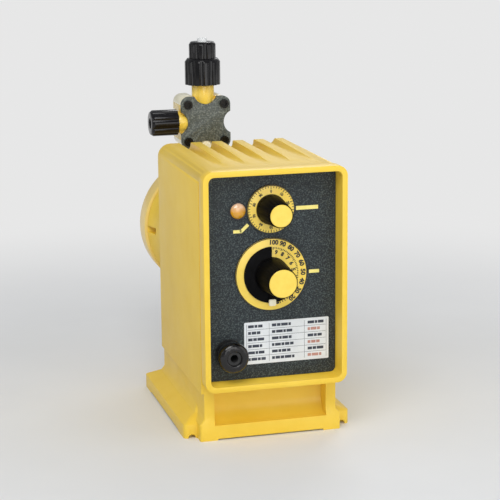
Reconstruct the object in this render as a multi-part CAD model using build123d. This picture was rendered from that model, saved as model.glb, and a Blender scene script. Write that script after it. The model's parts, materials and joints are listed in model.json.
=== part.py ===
"""Solenoid-driven diaphragm metering pump: one node per physical piece.

Millimetres, +Z up. The control panel faces -Y and the liquid end stands behind the housing.
The origin is the centre of the four screw holes in the base, on the bottom plane.
"""
from build123d import *
from math import cos, pi, radians, sin
import os

# ---------------------------------------------------------------- driving dimensions
# Housing
BEZEL_WIDTH = 127.0
BEZEL_BOTTOM = 49.5
BEZEL_TOP = 241.5
BEZEL_FRONT = -114.5
BEZEL_DEPTH = 14.5
BEZEL_FLARE = 16.0
BEZEL_RADIUS = 9.0
LIP = 4.7
MOUTH_RADIUS = 5.0
BODY_INSET = 1.0
BODY_DROP = 2.5
BODY_BOTTOM = 42.8
BODY_REAR = 70.5
BODY_LEFT_RADIUS = 12.0
BODY_RIGHT_RADIUS = 4.0
BODY_REAR_RADIUS = 3.5
TAPER_TOP = 92.0
TAPER_BOTTOM = 56.0
NOTCH_START = 40.0
NOTCH_RISE = 9.2
WALL = 3.5
REAR_WALL = 4.0
FLOOR_ABOVE_PEDESTAL = 4.5
GROOVE_FIRST = -36.0
GROOVE_PITCH = 20.5
GROOVE_WIDTH = 11.5
GROOVE_DEPTHS = (8.5, 8.5, 8.5, 8.5, 5.5)
GROOVE_START = -74.0
# Pedestal and base
POST_FRONT = -93.0
POST_WIDTH = 9.0
PEDESTAL_INSET = 3.5
RECESS_DEPTH = 15.0
RECESS_FOOT = 13.5
PEDESTAL_REAR = 69.0
FLANGE_OVERHANG = 12.7
FLANGE_LENGTH = 166.0
FLANGE_EDGE = 12.4
FLANGE_TOP = 25.0
FLANGE_RADIUS = 4.0
BLOCK_OVERHANG = 0.8
BLOCK_FRONT = -94.8
BLOCK_EDGE = 15.0
PAD_WIDTH = 16.0
PAD_HEIGHT = 1.4
ARCH_X = 69.0
ARCH_WIDTH = 6.8
ARCH_HEIGHT = 3.0
ARCH_DEPTH = 8.0
BASE_HOLE_INSET = 10.2
BASE_HOLE_RADIUS = 2.75
BASE_HOLE_DEPTH = 14.0
# Control panel and its pieces
PANEL_RECESS = 18.0
PANEL_THICKNESS = 3.0
PANEL_CLEARANCE = 0.3
GASKET = 1.2
LEDGE_DEPTH = 4.0
LEDGE_WIDTH = 5.8
HOOK_WIDTH = 12.0
HOOK_THICKNESS = 2.5
HOOK_BARB = 1.2
HOOK_HEIGHTS = (85.0, 205.0)
DIAL_THICKNESS = 2.0
STROKE_Z = 146.8
STROKE_DIAL = 64.3
STROKE_SKIRT = 49.5
STROKE_SKIRT_THICKNESS = 1.6
STROKE_WINDOW_ANGLE = 150.0
STROKE_GRIP_BASE = 31.0
STROKE_GRIP_FRONT = 26.0
STROKE_CAP = 24.4
STROKE_REACH = 38.0
SPEED_Z = 204.0
SPEED_DIAL = 42.3
SPEED_GRIP_BASE = 26.5
SPEED_GRIP_FRONT = 21.0
SPEED_CAP = 19.4
SPEED_REACH = 33.4
CAP_INLAY = 1.2
GRIP_FLUTES = 18
POINTER_WIDTH = 5.0
POT_DIAMETER = 24.0
POT_DEPTH = 12.0
SPEED_SHAFT = 6.0
SPEED_SHAFT_TIP = 18.0
LENS_X = -29.0
LENS_DIAMETER = 12.0
LENS_HEIGHT = 4.0
LENS_FLANGE = 1.5
LENS_BEZEL = 14.5
GLAND_X = -38.0
GLAND_Z = 79.0
GLAND_FLANGE = 25.0
GLAND_FLANGE_THICKNESS = 3.5
GLAND_BARREL = 17.0
GLAND_NUT = 26.6
GLAND_NUT_ROUND = 4.5
GLAND_MOUTH = 12.0
GLAND_NUT_LENGTH = 15.0
GLAND_REACH = 20.0
CORD_HOLE = 7.0
BOARD_FRONT = -72.0
BOARD_THICKNESS = 1.6
BOARD_WIDTH = 98.0
BOARD_BOTTOM = 70.0
BOARD_TOP = 220.0
BOARD_HOLE = 44.0
BOARD_POST = 7.0
# Solenoid drive
CUP_DIAMETER = 92.0
CUP_WALL = 5.0
CUP_FRONT = 6.0
CUP_PLATE = 8.0
POLE_DIAMETER = 34.0
POLE_FRONT = 25.4
POLE_SPIGOT = 8.0
AIR_GAP = 2.5
ARMATURE_DISC = 78.0
ARMATURE_DISC_THICKNESS = 7.3
ARMATURE_FRONT = -4.0
SHAFT_DIAMETER = 10.0
SHAFT_TAIL = 6.0
BUSH_WALL = 2.0
BUSH_LENGTH = 10.0
RUNNING_FIT = 0.05
SPRING_WIRE = 2.0
SPRING_MEAN = 22.0
SPRING_TURNS = 6
SPRING_SOCKET = 9.0
SPRING_STEPS = 12
SPRING_SIDES = 8
BRACKET_FRONT = -40.0
BRACKET_THICKNESS = 5.0
BRACKET_HUB = 26.0
BRACKET_LEG = 14.0
PLUNGER_DIAMETER = 15.8
PLUNGER_LENGTH = 23.8
PLUNGER_FLAT = 6.5
SPINDLE_DIAMETER = 8.0
SPINDLE_COLLAR = 18.0
SPINDLE_TIP = 20.0
SEAT_GAP = 0.1
FREE_GAP = 0.3
# Liquid end
HEAD_DIAMETER = 129.5
BELL_LENGTH = 53.9
HEAD_THICKNESS = 26.0
HEAD_HUB = 84.0
HEAD_HUB_THICKNESS = 12.0
PORT_SETBACK = 17.9
PORT_BOSS = 30.0
PORT_BOSS_REACH = 70.0
PORT_SOCKET = 22.0
PORT_SOCKET_DEPTH = 26.0
PORT_PASSAGE = 8.0
CHAMBER_DUCT = 6.0
CHAMBER_DUCT_OFFSET = 10.0
CHAMBER_RADIUS = 38.0
CHAMBER_DEPTH = 5.0
BELL_DIAMETER = 115.0
BELL_WALL = 5.0
BELL_FRONT_FLANGE = 6.0
BELL_REAR_FLANGE = 8.0
BELL_BORE = 60.0
BELL_FLARE = 4.8
BELL_FLARE_LENGTH = 22.0
BELL_SLOT_LENGTH = 16.5
BELL_SLOT_HEIGHT = 6.4
BELL_SLOT_OFFSET = 1.0
BELL_SLOT_FLOOR = 50.5
HEAD_SCREW_COUNT = 8
HEAD_SCREW_CIRCLE = 104.0
HEAD_SCREW = 6.0
HEAD_SCREW_HEAD = 10.0
SOCKET_SHARE = 0.6
ADAPTER_SCREW_COUNT = 4
ADAPTER_SCREW_CIRCLE = 72.0
DIAPHRAGM_DIAMETER = 90.0
DIAPHRAGM_RIM = 2.2
BALL_DIAMETER = 9.5
BALL_LIFT = 3.0
FITTING_COLLAR = 5.2
FITTING_STUB = 15.0
SUCTION_STUB = 17.0
TUBE_OUTSIDE = 9.5
TUBE_BORE = 6.4
# Four-function valve
VALVE_ABOVE_PORT = 31.2
VALVE_PLATE_WIDTH = 49.5
VALVE_PLATE_HEIGHT = 51.6
VALVE_PLATE_REACH = 12.0
VALVE_PLATE_THICKNESS = 4.0
VALVE_PLATE_RADIUS = 8.0
VALVE_SCREW_SPACING = 36.3
VALVE_DEPTH = 34.0
VALVE_SCALLOP_RADIUS = 11.8
VALVE_SCALLOP_FACE = 18.0
VALVE_PORT = 22.0
VALVE_SCREW = 5.0
VALVE_SCREW_HEAD = 8.6
VALVE_SCREW_RISE = 3.0
VALVE_SCREW_HOLE = 20.0
LOWER_NUT_DIAMETER = 35.0
LOWER_NUT_START = 36.6
LOWER_NUT_LENGTH = 25.5
UPPER_NUT_DIAMETER = 26.3
UPPER_NUT_LENGTH = 16.1
TUBE_STANDS = 3.4
SIDE_NUT_DIAMETER = 25.4
SIDE_NUT_START = -26.6
SIDE_NUT_END = -53.7
SUCTION_STUB_LENGTH = 24.0
SUCTION_NUT_OVERHANG = 8.0
NUT_END_WALL = 3.0
NUT_FLUTES = 10
NUT_FLUTE_SHARE = 0.4
STUB_ABOVE_ADAPTER = 6.0
SIDE_STUB_LENGTH = 14.0
VALVE_POCKET = 26.0
PLATE_POCKET = 18.0
PLATE_POCKET_DEPTH = 2.5
VALVE_DIAPHRAGM_THICKNESS = 1.5
POPPET_DIAMETER = 12.0
RELIEF_BORE = 9.0
RELIEF_BALL = 7.5
RELIEF_SEAT_X = -12.0
RELIEF_WIRE = 0.8

# ---------------------------------------------------------------- sizes worked out from them
BODY_HALF = BEZEL_WIDTH / 2 - BODY_INSET
BODY_TOP = BEZEL_TOP - BODY_DROP
PEDESTAL_HALF = BEZEL_WIDTH / 2 - PEDESTAL_INSET
FLANGE_WIDTH = BEZEL_WIDTH + 2 * FLANGE_OVERHANG
BLOCK_WIDTH = BEZEL_WIDTH + 2 * BLOCK_OVERHANG
BASE_HOLE_SPACING = FLANGE_WIDTH - 2 * BASE_HOLE_INSET
CAVITY_BOTTOM = BEZEL_BOTTOM + FLOOR_ABOVE_PEDESTAL
MOUTH_HALF = BEZEL_WIDTH / 2 - LIP
MOUTH_BOTTOM = BEZEL_BOTTOM + LIP
MOUTH_TOP = BEZEL_TOP - LIP
PANEL_FRONT = BEZEL_FRONT + PANEL_RECESS
PANEL_BACK = PANEL_FRONT + PANEL_THICKNESS
LEDGE_FRONT = PANEL_BACK + GASKET
LEDGE_BACK = LEDGE_FRONT + LEDGE_DEPTH
DIAL_FRONT = PANEL_FRONT - DIAL_THICKNESS
REAR_FACE_INSIDE = BODY_REAR - REAR_WALL
HEAD_FRONT = BODY_REAR + BELL_LENGTH
HEAD_REAR = HEAD_FRONT + HEAD_THICKNESS
PORT_Y = HEAD_FRONT + PORT_SETBACK
HUB_REAR = HEAD_REAR + HEAD_HUB_THICKNESS
SHAFT_TAIL_END = ARMATURE_FRONT - SHAFT_TAIL
PLUNGER_REAR = SHAFT_TAIL_END - SEAT_GAP
PLUNGER_FRONT = PLUNGER_REAR - PLUNGER_LENGTH
VALVE_Z = STROKE_Z + PORT_BOSS_REACH + VALVE_ABOVE_PORT
LOWER_NUT_BOTTOM = VALVE_Z + LOWER_NUT_START
LOWER_NUT_TOP = LOWER_NUT_BOTTOM + LOWER_NUT_LENGTH
UPPER_NUT_TOP = LOWER_NUT_TOP + UPPER_NUT_LENGTH
TUBE_TOP = UPPER_NUT_TOP + TUBE_STANDS
VALVE_PLATE_FRONT = PORT_Y - VALVE_PLATE_REACH
VALVE_BODY_FRONT = VALVE_PLATE_FRONT + VALVE_PLATE_THICKNESS
VALVE_BODY_REAR = VALVE_BODY_FRONT + VALVE_DEPTH
VALVE_SOCKET_TOP = VALVE_Z - 13.5
STROKE_AXIS = (0.0, STROKE_Z)
BASE_ALIGN = (Align.CENTER, Align.CENTER, Align.MIN)


# ---------------------------------------------------------------- shared makers
def round_bar(axis, at, start, end, diameter, hole=0.0):
    """A round bar or tube along X, Y or Z; at holds the other two coordinates in X, Y, Z order."""
    low, high = min(start, end), max(start, end)
    bar = Cylinder(diameter / 2, high - low, align=BASE_ALIGN)
    if hole:
        bar -= Cylinder(hole / 2, high - low, align=BASE_ALIGN)
    if axis == "x":
        return Pos(low, at[0], at[1]) * Rot(0, 90, 0) * bar
    if axis == "y":
        return Pos(at[0], low, at[1]) * Rot(-90, 0, 0) * bar
    return Pos(at[0], at[1], low) * bar


def turned(axis, at, points):
    """Revolve a closed outline of (radius, distance along the axis) points about an axis."""
    if axis == "x":
        plane = Plane(origin=(0, at[0], at[1]), x_dir=(0, 0, 1), z_dir=(0, 1, 0))
        line = Axis((0, at[0], at[1]), (1, 0, 0))
    elif axis == "y":
        plane = Plane(origin=(at[0], 0, at[1]), x_dir=(1, 0, 0), z_dir=(0, 0, 1))
        line = Axis((at[0], 0, at[1]), (0, 1, 0))
    else:
        plane = Plane(origin=(at[0], at[1], 0), x_dir=(1, 0, 0), z_dir=(0, -1, 0))
        line = Axis((at[0], at[1], 0), (0, 0, 1))
    return revolve(plane * Polygon(*points, align=None), line)


def block(x_range, y_range, z_range):
    """A box between two limits on each axis."""
    size = [limits[1] - limits[0] for limits in (x_range, y_range, z_range)]
    middle = [(limits[0] + limits[1]) / 2 for limits in (x_range, y_range, z_range)]
    return Pos(*middle) * Box(*size)


def upright_plane(y):
    """A plane facing -Y at the given depth, with local X along X and local Y along Z."""
    return Plane(origin=(0, y, 0), x_dir=(1, 0, 0), z_dir=(0, -1, 0))


def slab(sketch, front, rear):
    """Extrude an upright sketch from its front depth to its rear depth."""
    return extrude(upright_plane(front) * sketch, amount=front - rear)


def sideways(sketch, half):
    """Extrude a sketch of (Y, Z) points through the whole width."""
    return extrude(Plane(origin=(-half, 0, 0), x_dir=(0, 1, 0), z_dir=(1, 0, 0)) * sketch, amount=2 * half)


def rounded_outline(half_width, bottom, top, radius):
    """A rounded rectangle in an upright plane, between two heights."""
    return Pos(0, (bottom + top) / 2) * RectangleRounded(2 * half_width, top - bottom, radius)


def around(axis, at, count, circle, first_angle=0.0):
    """Centres, on a circle about an axis, as the two coordinates across it."""
    angles = [radians(first_angle + 360 * i / count) for i in range(count)]
    return [(at[0] + circle / 2 * cos(a), at[1] + circle / 2 * sin(a)) for a in angles]


def cap_screw(at, top, seat, tip, shank, head):
    """A socket-head cap screw along Y: head from top to seat, hexagon socket, plain shank to the tip."""
    screw = round_bar("y", at, top, seat, head) + round_bar("y", at, seat, tip, shank)
    outward = 1 if top > seat else -1
    mouth = Plane(origin=(at[0], top, at[1]), x_dir=(1, 0, 0), z_dir=(0, outward, 0))
    across = RegularPolygon(head * SOCKET_SHARE / 2, 6)
    return screw - extrude(mouth * across, amount=-abs(top - seat) * SOCKET_SHARE)


def ribbed_nut(axis, at, start, end, diameter, hole, flutes, chamfer_end):
    """A hand nut with round flutes between its ribs; chamfer_end is the end with the bevel."""
    radius = diameter / 2
    bevel = radius * 0.14
    inward = 1 if chamfer_end < (start + end) / 2 else -1
    other = start if chamfer_end == end else end
    outline = [
        (hole / 2, other),
        (radius, other),
        (radius, chamfer_end + inward * bevel * 1.4),
        (radius - bevel, chamfer_end),
        (hole / 2, chamfer_end),
    ]
    nut = turned(axis, at, outline)
    cutter = diameter * pi / flutes * 0.5
    for centre in around(axis, at, flutes, diameter + cutter * NUT_FLUTE_SHARE, 180 / flutes):
        nut -= round_bar(axis, centre, start - 1, end + 1, cutter) if start < end else \
            round_bar(axis, centre, start + 1, end - 1, cutter)
    return nut


def coil_spring(radius, wire, length, turns):
    """A spring of faceted turns standing on the XY plane, its wire's centre line as tall as length."""
    count = SPRING_STEPS * turns
    angles = [2 * pi * i / SPRING_STEPS for i in range(count + 1)]
    path = Polyline(*[(radius * cos(a), radius * sin(a), length * i / count) for i, a in enumerate(angles)])
    section = Plane(origin=path @ 0, z_dir=path % 0) * RegularPolygon(wire / 2, SPRING_SIDES)
    return sweep(section, path=path, transition=Transition.RIGHT)


# ---------------------------------------------------------------- housing
def body_block():
    """The box of the housing: rounded top edges, sides that draw in to the pedestal, a notch behind."""
    box = block((-BODY_HALF, BODY_HALF), (POST_FRONT, BODY_REAR), (BODY_BOTTOM, BODY_TOP))
    top_edges = box.edges().filter_by(Axis.Y).sort_by(Axis.Z)[-2:].sort_by(Axis.X)
    box = fillet(top_edges[0], BODY_LEFT_RADIUS)
    box = fillet(box.edges().filter_by(Axis.Y).sort_by(Axis.Z)[-2:].sort_by(Axis.X)[-1], BODY_RIGHT_RADIUS)
    box = fillet(box.faces().sort_by(Axis.Y)[-1].edges(), BODY_REAR_RADIUS)
    outside = BODY_HALF + 1
    for side in (-1, 1):
        draw = Polygon((side * BODY_HALF, TAPER_TOP), (side * PEDESTAL_HALF, TAPER_BOTTOM),
                       (side * PEDESTAL_HALF, BODY_BOTTOM - 1), (side * outside, BODY_BOTTOM - 1),
                       (side * outside, TAPER_TOP), align=None)
        box -= slab(draw, POST_FRONT - 1, BODY_REAR + 1)
    past = BODY_REAR + 1
    notch = Polygon((NOTCH_START, BODY_BOTTOM), (past, BODY_BOTTOM + NOTCH_RISE), (past, BODY_BOTTOM - 1),
                    (NOTCH_START, BODY_BOTTOM - 1), align=None)
    return box - sideways(notch, outside)


def bezel_block():
    """The frame round the panel: a straight rim that flares down to the body behind it."""
    rim_rear = BEZEL_FRONT + BEZEL_DEPTH
    outline = rounded_outline(BEZEL_WIDTH / 2, BEZEL_BOTTOM, BEZEL_TOP, BEZEL_RADIUS)
    rim = slab(outline, BEZEL_FRONT, rim_rear)
    narrow = rounded_outline(PEDESTAL_HALF - 0.1, BEZEL_BOTTOM, BODY_TOP - BODY_INSET, BEZEL_RADIUS)
    flare = loft([upright_plane(rim_rear) * outline, upright_plane(rim_rear + BEZEL_FLARE) * narrow])
    return rim + flare


def top_grooves():
    """Round-bottomed cooling grooves that deepen toward the rear and run out toward the bezel."""
    run = BODY_REAR - GROOVE_START
    cutters = []
    for i, depth in enumerate(GROOVE_DEPTHS):
        outline = Pos(0, depth) * SlotCenterToCenter(2 * depth, GROOVE_WIDTH, rotation=90)
        start = (GROOVE_FIRST + i * GROOVE_PITCH, GROOVE_START, BODY_TOP + GROOVE_WIDTH / 2)
        across = Plane(origin=start, x_dir=(1, 0, 0), z_dir=(0, -run, depth))
        cutters.append(extrude(across * outline, amount=-(run + depth)))
    return cutters


def pedestal_block():
    """The upright foot below the body, with posts either side of a recessed front that flares out."""
    return block((-PEDESTAL_HALF, PEDESTAL_HALF), (POST_FRONT, PEDESTAL_REAR), (0, BODY_BOTTOM))


def front_recess():
    """What is cut out between the two posts: a flat back and a quarter-round foot."""
    back = POST_FRONT + RECESS_DEPTH
    front = BEZEL_FRONT
    outline = Polyline((front, RECESS_FOOT), (front, BEZEL_BOTTOM), (back, BEZEL_BOTTOM),
                       (back, RECESS_FOOT + RECESS_DEPTH))
    curve = CenterArc((POST_FRONT, RECESS_FOOT + RECESS_DEPTH), RECESS_DEPTH, -90, 90)
    floor = Line((POST_FRONT, RECESS_FOOT), (front, RECESS_FOOT))
    face = make_face([*outline.edges(), curve, floor])
    return sideways(face, PEDESTAL_HALF - POST_WIDTH)


def hipped(width, front, rear, edge, top_half, top_front, top_rear, top, radius):
    """A flange with an upright edge and hollow sloping sides up to a smaller top."""
    inset, rise = 0.78, 0.5
    sections = []
    for share, height in ((0.0, edge), (inset, edge + rise * (top - edge)), (1.0, top)):
        start = front + share * (top_front - front)
        end = rear + share * (top_rear - rear)
        half = width / 2 + share * (top_half - width / 2)
        outline = Pos(0, (start + end) / 2) * RectangleRounded(2 * half, end - start, radius)
        sections.append(Plane.XY.offset(height) * outline)
    flange = extrude(sections[0], amount=-edge)
    return flange + loft(sections[:2]) + loft(sections[1:])


def base_block():
    """The spread foot: a wide flange with screw holes and a block that reaches further forward."""
    reach = FLANGE_WIDTH / 2 - PEDESTAL_HALF
    half = FLANGE_LENGTH / 2
    flange = hipped(FLANGE_WIDTH, -half, half, FLANGE_EDGE, PEDESTAL_HALF, -half + reach, PEDESTAL_REAR,
                    FLANGE_TOP, FLANGE_RADIUS)
    front = hipped(BLOCK_WIDTH, BLOCK_FRONT, 0, BLOCK_EDGE, PEDESTAL_HALF, POST_FRONT, 0, FLANGE_TOP - 3.0, 2.0)
    return flange + front


def base_underside():
    """What is cut from below: the open pedestal, side channels, pad relief, arches and screw holes."""
    inner_half = PEDESTAL_HALF - WALL
    cuts = block((-inner_half, inner_half), (POST_FRONT + RECESS_DEPTH + WALL, PEDESTAL_REAR - WALL),
                 (-1, BODY_BOTTOM - WALL))
    channel_half = BASE_HOLE_SPACING / 2 - 8.0
    edge_half = FLANGE_WIDTH / 2 - WALL
    cuts += block((-edge_half, edge_half), (-channel_half, channel_half), (-1, FLANGE_EDGE - WALL))
    pad_half = BLOCK_WIDTH / 2 - PAD_WIDTH
    cuts += block((-pad_half, pad_half), (BLOCK_FRONT - 1, FLANGE_LENGTH / 2 + 1), (-1, PAD_HEIGHT))
    cuts += block((-FLANGE_WIDTH, FLANGE_WIDTH), (-channel_half, channel_half), (-1, PAD_HEIGHT))
    for x in (-ARCH_X, ARCH_X):
        for y in (-FLANGE_LENGTH / 2, FLANGE_LENGTH / 2):
            low, high = sorted((y * 1.01, y - ARCH_DEPTH * y / abs(y)))
            round_top = round_bar("y", (x, ARCH_HEIGHT - ARCH_WIDTH / 2 + 0.6), low, high, ARCH_WIDTH)
            cuts += round_top
    spacing = BASE_HOLE_SPACING / 2
    for x in (-spacing, spacing):
        for y in (-spacing, spacing):
            cuts += round_bar("z", (x, y), -1, BASE_HOLE_DEPTH, 2 * BASE_HOLE_RADIUS)
    return cuts


def housing():
    """One moulding: body, bezel, pedestal and base, open at the panel and underneath."""
    solid = body_block() + bezel_block() + pedestal_block() + base_block()
    solid -= front_recess()
    for cutter in top_grooves():
        solid -= cutter
    mouth = rounded_outline(MOUTH_HALF, MOUTH_BOTTOM, MOUTH_TOP, MOUTH_RADIUS)
    solid -= slab(mouth, BEZEL_FRONT - 1, LEDGE_FRONT)
    opening = rounded_outline(MOUTH_HALF - LEDGE_WIDTH, MOUTH_BOTTOM + LEDGE_WIDTH,
                              MOUTH_TOP - LEDGE_WIDTH, MOUTH_RADIUS)
    solid -= slab(opening, LEDGE_FRONT - 1, LEDGE_BACK + 1)
    cavity_top = BODY_TOP - max(GROOVE_DEPTHS) - WALL
    cavity = rounded_outline(PEDESTAL_HALF - WALL, CAVITY_BOTTOM, cavity_top, MOUTH_RADIUS)
    solid -= slab(cavity, LEDGE_BACK, REAR_FACE_INSIDE)
    solid -= round_bar("y", STROKE_AXIS, REAR_FACE_INSIDE - 1, BODY_REAR + 1, POLE_DIAMETER)
    for centre in around("y", STROKE_AXIS, ADAPTER_SCREW_COUNT, ADAPTER_SCREW_CIRCLE, 45):
        solid -= round_bar("y", centre, REAR_FACE_INSIDE - 1, BODY_REAR + 1, HEAD_SCREW)
    solid -= base_underside()
    return solid


# ---------------------------------------------------------------- control panel
def panel_holes():
    """The openings through the panel and its gasket's middle."""
    return [
        round_bar("y", STROKE_AXIS, PANEL_FRONT - 1, PANEL_BACK + 1, SPINDLE_DIAMETER + 4),
        round_bar("y", (0, SPEED_Z), PANEL_FRONT - 1, PANEL_BACK + 1, SPEED_SHAFT + 3),
        round_bar("y", (LENS_X, SPEED_Z), PANEL_FRONT - 1, PANEL_BACK + 1, LENS_DIAMETER - 2),
        round_bar("y", (GLAND_X, GLAND_Z), PANEL_FRONT - 1, PANEL_BACK + 1, GLAND_BARREL),
    ]


def board_post_places():
    """Where the four posts that carry the circuit board stand."""
    x = BOARD_WIDTH / 2 - BOARD_POST
    return [(sx * x, z) for sx in (-1, 1) for z in (BOARD_BOTTOM + 46, BOARD_TOP - BOARD_POST)]


def control_panel():
    """The sunken front panel, with snap hooks for the housing's ledge and posts for the board."""
    half = MOUTH_HALF - PANEL_CLEARANCE
    outline = rounded_outline(half, MOUTH_BOTTOM + PANEL_CLEARANCE, MOUTH_TOP - PANEL_CLEARANCE,
                              MOUTH_RADIUS - PANEL_CLEARANCE)
    panel = slab(outline, PANEL_FRONT, PANEL_BACK)
    hook_face = MOUTH_HALF - LEDGE_WIDTH - FREE_GAP
    barb_start = LEDGE_BACK + FREE_GAP
    for z in HOOK_HEIGHTS:
        for side in (-1, 1):
            inner, outer = sorted((side * hook_face, side * (hook_face - HOOK_THICKNESS)))
            barb = sorted((side * hook_face, side * (hook_face + HOOK_BARB)))
            heights = (z - HOOK_WIDTH / 2, z + HOOK_WIDTH / 2)
            panel += block((inner, outer), (PANEL_BACK, barb_start + 3), heights)
            panel += block(barb, (barb_start, barb_start + 3), heights)
    for centre in board_post_places():
        panel += round_bar("y", centre, PANEL_BACK, BOARD_FRONT, BOARD_POST)
    for hole in panel_holes():
        panel -= hole
    return panel


def panel_gasket():
    """The flat seal between the panel and the ledge in the housing."""
    outer = rounded_outline(MOUTH_HALF - PANEL_CLEARANCE, MOUTH_BOTTOM + PANEL_CLEARANCE,
                            MOUTH_TOP - PANEL_CLEARANCE, MOUTH_RADIUS - PANEL_CLEARANCE)
    inner = rounded_outline(MOUTH_HALF - LEDGE_WIDTH, MOUTH_BOTTOM + LEDGE_WIDTH,
                            MOUTH_TOP - LEDGE_WIDTH, MOUTH_RADIUS)
    return slab(outer - inner, PANEL_BACK, LEDGE_FRONT)


def dial_plate(z, diameter, hole):
    """A raised round scale plate that turns with its knob, just clear of the panel."""
    edge = 0.5
    front, rear = DIAL_FRONT, PANEL_FRONT - FREE_GAP
    radius = diameter / 2
    outline = [(hole / 2, rear), (radius, rear), (radius, front + edge), (radius - edge, front), (hole / 2, front)]
    return turned("y", (0, z), outline)


def grip(z, base, front_diameter, rear, front, inlay):
    """A fluted, tapering knob grip with a shallow recess for its cap."""
    outline = [(0, rear), (base / 2, rear), (front_diameter / 2, front + 1.0),
               (front_diameter / 2 - 1.0, front), (0, front)]
    body = turned("y", (0, z), outline)
    for centre in around("y", (0, z), GRIP_FLUTES, base + 1.2):
        body -= round_bar("y", centre, front - 1, rear - 5, 2.6)
    return body - round_bar("y", (0, z), front - 1, front + CAP_INLAY, inlay)


def stroke_knob():
    """The large knob: fluted grip on a thin skirt with a window that shows the scale."""
    skirt_rear = DIAL_FRONT
    skirt_front = skirt_rear - STROKE_SKIRT_THICKNESS
    front = PANEL_FRONT - STROKE_REACH + 0.2
    skirt = round_bar("y", STROKE_AXIS, skirt_front, skirt_rear, STROKE_SKIRT)
    wedge = extrude(upright_plane(skirt_front - 1) * window_sector(), amount=-(STROKE_SKIRT_THICKNESS + 2))
    knob = skirt - wedge
    knob += grip(STROKE_Z, STROKE_GRIP_BASE, STROKE_GRIP_FRONT, skirt_rear, front, STROKE_CAP)
    tip = round_bar("y", STROKE_AXIS, PANEL_FRONT - SPINDLE_TIP, skirt_rear + 1, SPINDLE_DIAMETER)
    half = POINTER_WIDTH / 2
    pointer = block((-half, half), (skirt_front - 1.0, skirt_front),
                    (STROKE_Z - STROKE_SKIRT / 2 + 0.4, STROKE_Z - STROKE_GRIP_BASE / 2))
    return knob + pointer - tip


def window_sector():
    """The pie slice, clockwise from twelve o'clock, that is open in the stroke knob's skirt."""
    reach = STROKE_SKIRT
    steps = 5
    first = 90 - STROKE_WINDOW_ANGLE
    angles = [radians(first + STROKE_WINDOW_ANGLE * i / steps) for i in range(steps + 1)]
    rim = [(reach * cos(a), STROKE_Z + reach * sin(a)) for a in angles]
    return Polygon((0, STROKE_Z), *rim, align=None)


def speed_knob():
    """The small fluted knob on the potentiometer shaft."""
    rear = DIAL_FRONT
    front = PANEL_FRONT - SPEED_REACH + 0.2
    knob = grip(SPEED_Z, SPEED_GRIP_BASE, SPEED_GRIP_FRONT, rear, front, SPEED_CAP)
    return knob - round_bar("y", (0, SPEED_Z), PANEL_FRONT - SPEED_SHAFT_TIP, rear + 1, SPEED_SHAFT)


def knob_cap(z, diameter, reach):
    """The round inlay in the front of a knob, slightly domed at its edge."""
    front = PANEL_FRONT - reach
    rear = front + 0.2 + CAP_INLAY
    radius = diameter / 2
    outline = [(0, rear), (radius, rear), (radius, front + 0.6), (radius - 0.6, front), (0, front)]
    return turned("y", (0, z), outline)


def speed_shaft():
    """The potentiometer's turning shaft."""
    return round_bar("y", (0, SPEED_Z), PANEL_FRONT - SPEED_SHAFT_TIP, PANEL_BACK + POT_DEPTH - 2, SPEED_SHAFT)


def speed_potentiometer():
    """The potentiometer behind the panel, with a bushing through it and a running bore."""
    bore = SPEED_SHAFT + 2 * RUNNING_FIT
    body = round_bar("y", (0, SPEED_Z), PANEL_BACK, PANEL_BACK + POT_DEPTH, POT_DIAMETER)
    body += round_bar("y", (0, SPEED_Z), PANEL_FRONT, PANEL_BACK, SPEED_SHAFT + 3)
    body += block((-POT_DIAMETER / 2, POT_DIAMETER / 2), (PANEL_BACK + POT_DEPTH, BOARD_FRONT),
                  (SPEED_Z - 9, SPEED_Z - 5))
    return body - round_bar("y", (0, SPEED_Z), PANEL_FRONT - 1, PANEL_BACK + POT_DEPTH - 1.5, bore)


def pulse_bezel():
    """The black ring that holds the pulse light's lens."""
    front = PANEL_FRONT - LENS_FLANGE
    ring = round_bar("y", (LENS_X, SPEED_Z), front, PANEL_FRONT, LENS_BEZEL, LENS_DIAMETER)
    return ring


def pulse_lens():
    """The domed lens, with a stem through the panel."""
    radius = LENS_DIAMETER / 2
    sphere = (radius ** 2 + LENS_HEIGHT ** 2) / (2 * LENS_HEIGHT)
    centre = PANEL_FRONT - LENS_FLANGE - LENS_HEIGHT + sphere
    dome = Pos(LENS_X, centre, SPEED_Z) * Sphere(sphere)
    dome &= round_bar("y", (LENS_X, SPEED_Z), PANEL_FRONT - LENS_FLANGE - LENS_HEIGHT - 1, PANEL_FRONT, LENS_DIAMETER)
    stem = round_bar("y", (LENS_X, SPEED_Z), PANEL_FRONT, PANEL_BACK + 8, LENS_DIAMETER - 2)
    return dome + stem


def cable_gland():
    """The black cord inlet: flange, threaded barrel and back nut in one."""
    at = (GLAND_X, GLAND_Z)
    flange_front = PANEL_FRONT - GLAND_FLANGE_THICKNESS
    barrel_front = PANEL_FRONT - GLAND_REACH + 5.0
    gland = round_bar("y", at, flange_front, PANEL_FRONT, GLAND_FLANGE)
    gland += round_bar("y", at, barrel_front, PANEL_BACK + 8, GLAND_BARREL)
    gland += round_bar("y", at, PANEL_BACK, PANEL_BACK + 5, GLAND_FLANGE - 2)
    return gland - round_bar("y", at, barrel_front - 1, PANEL_BACK + 9, GLAND_BARREL - 5)


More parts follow.
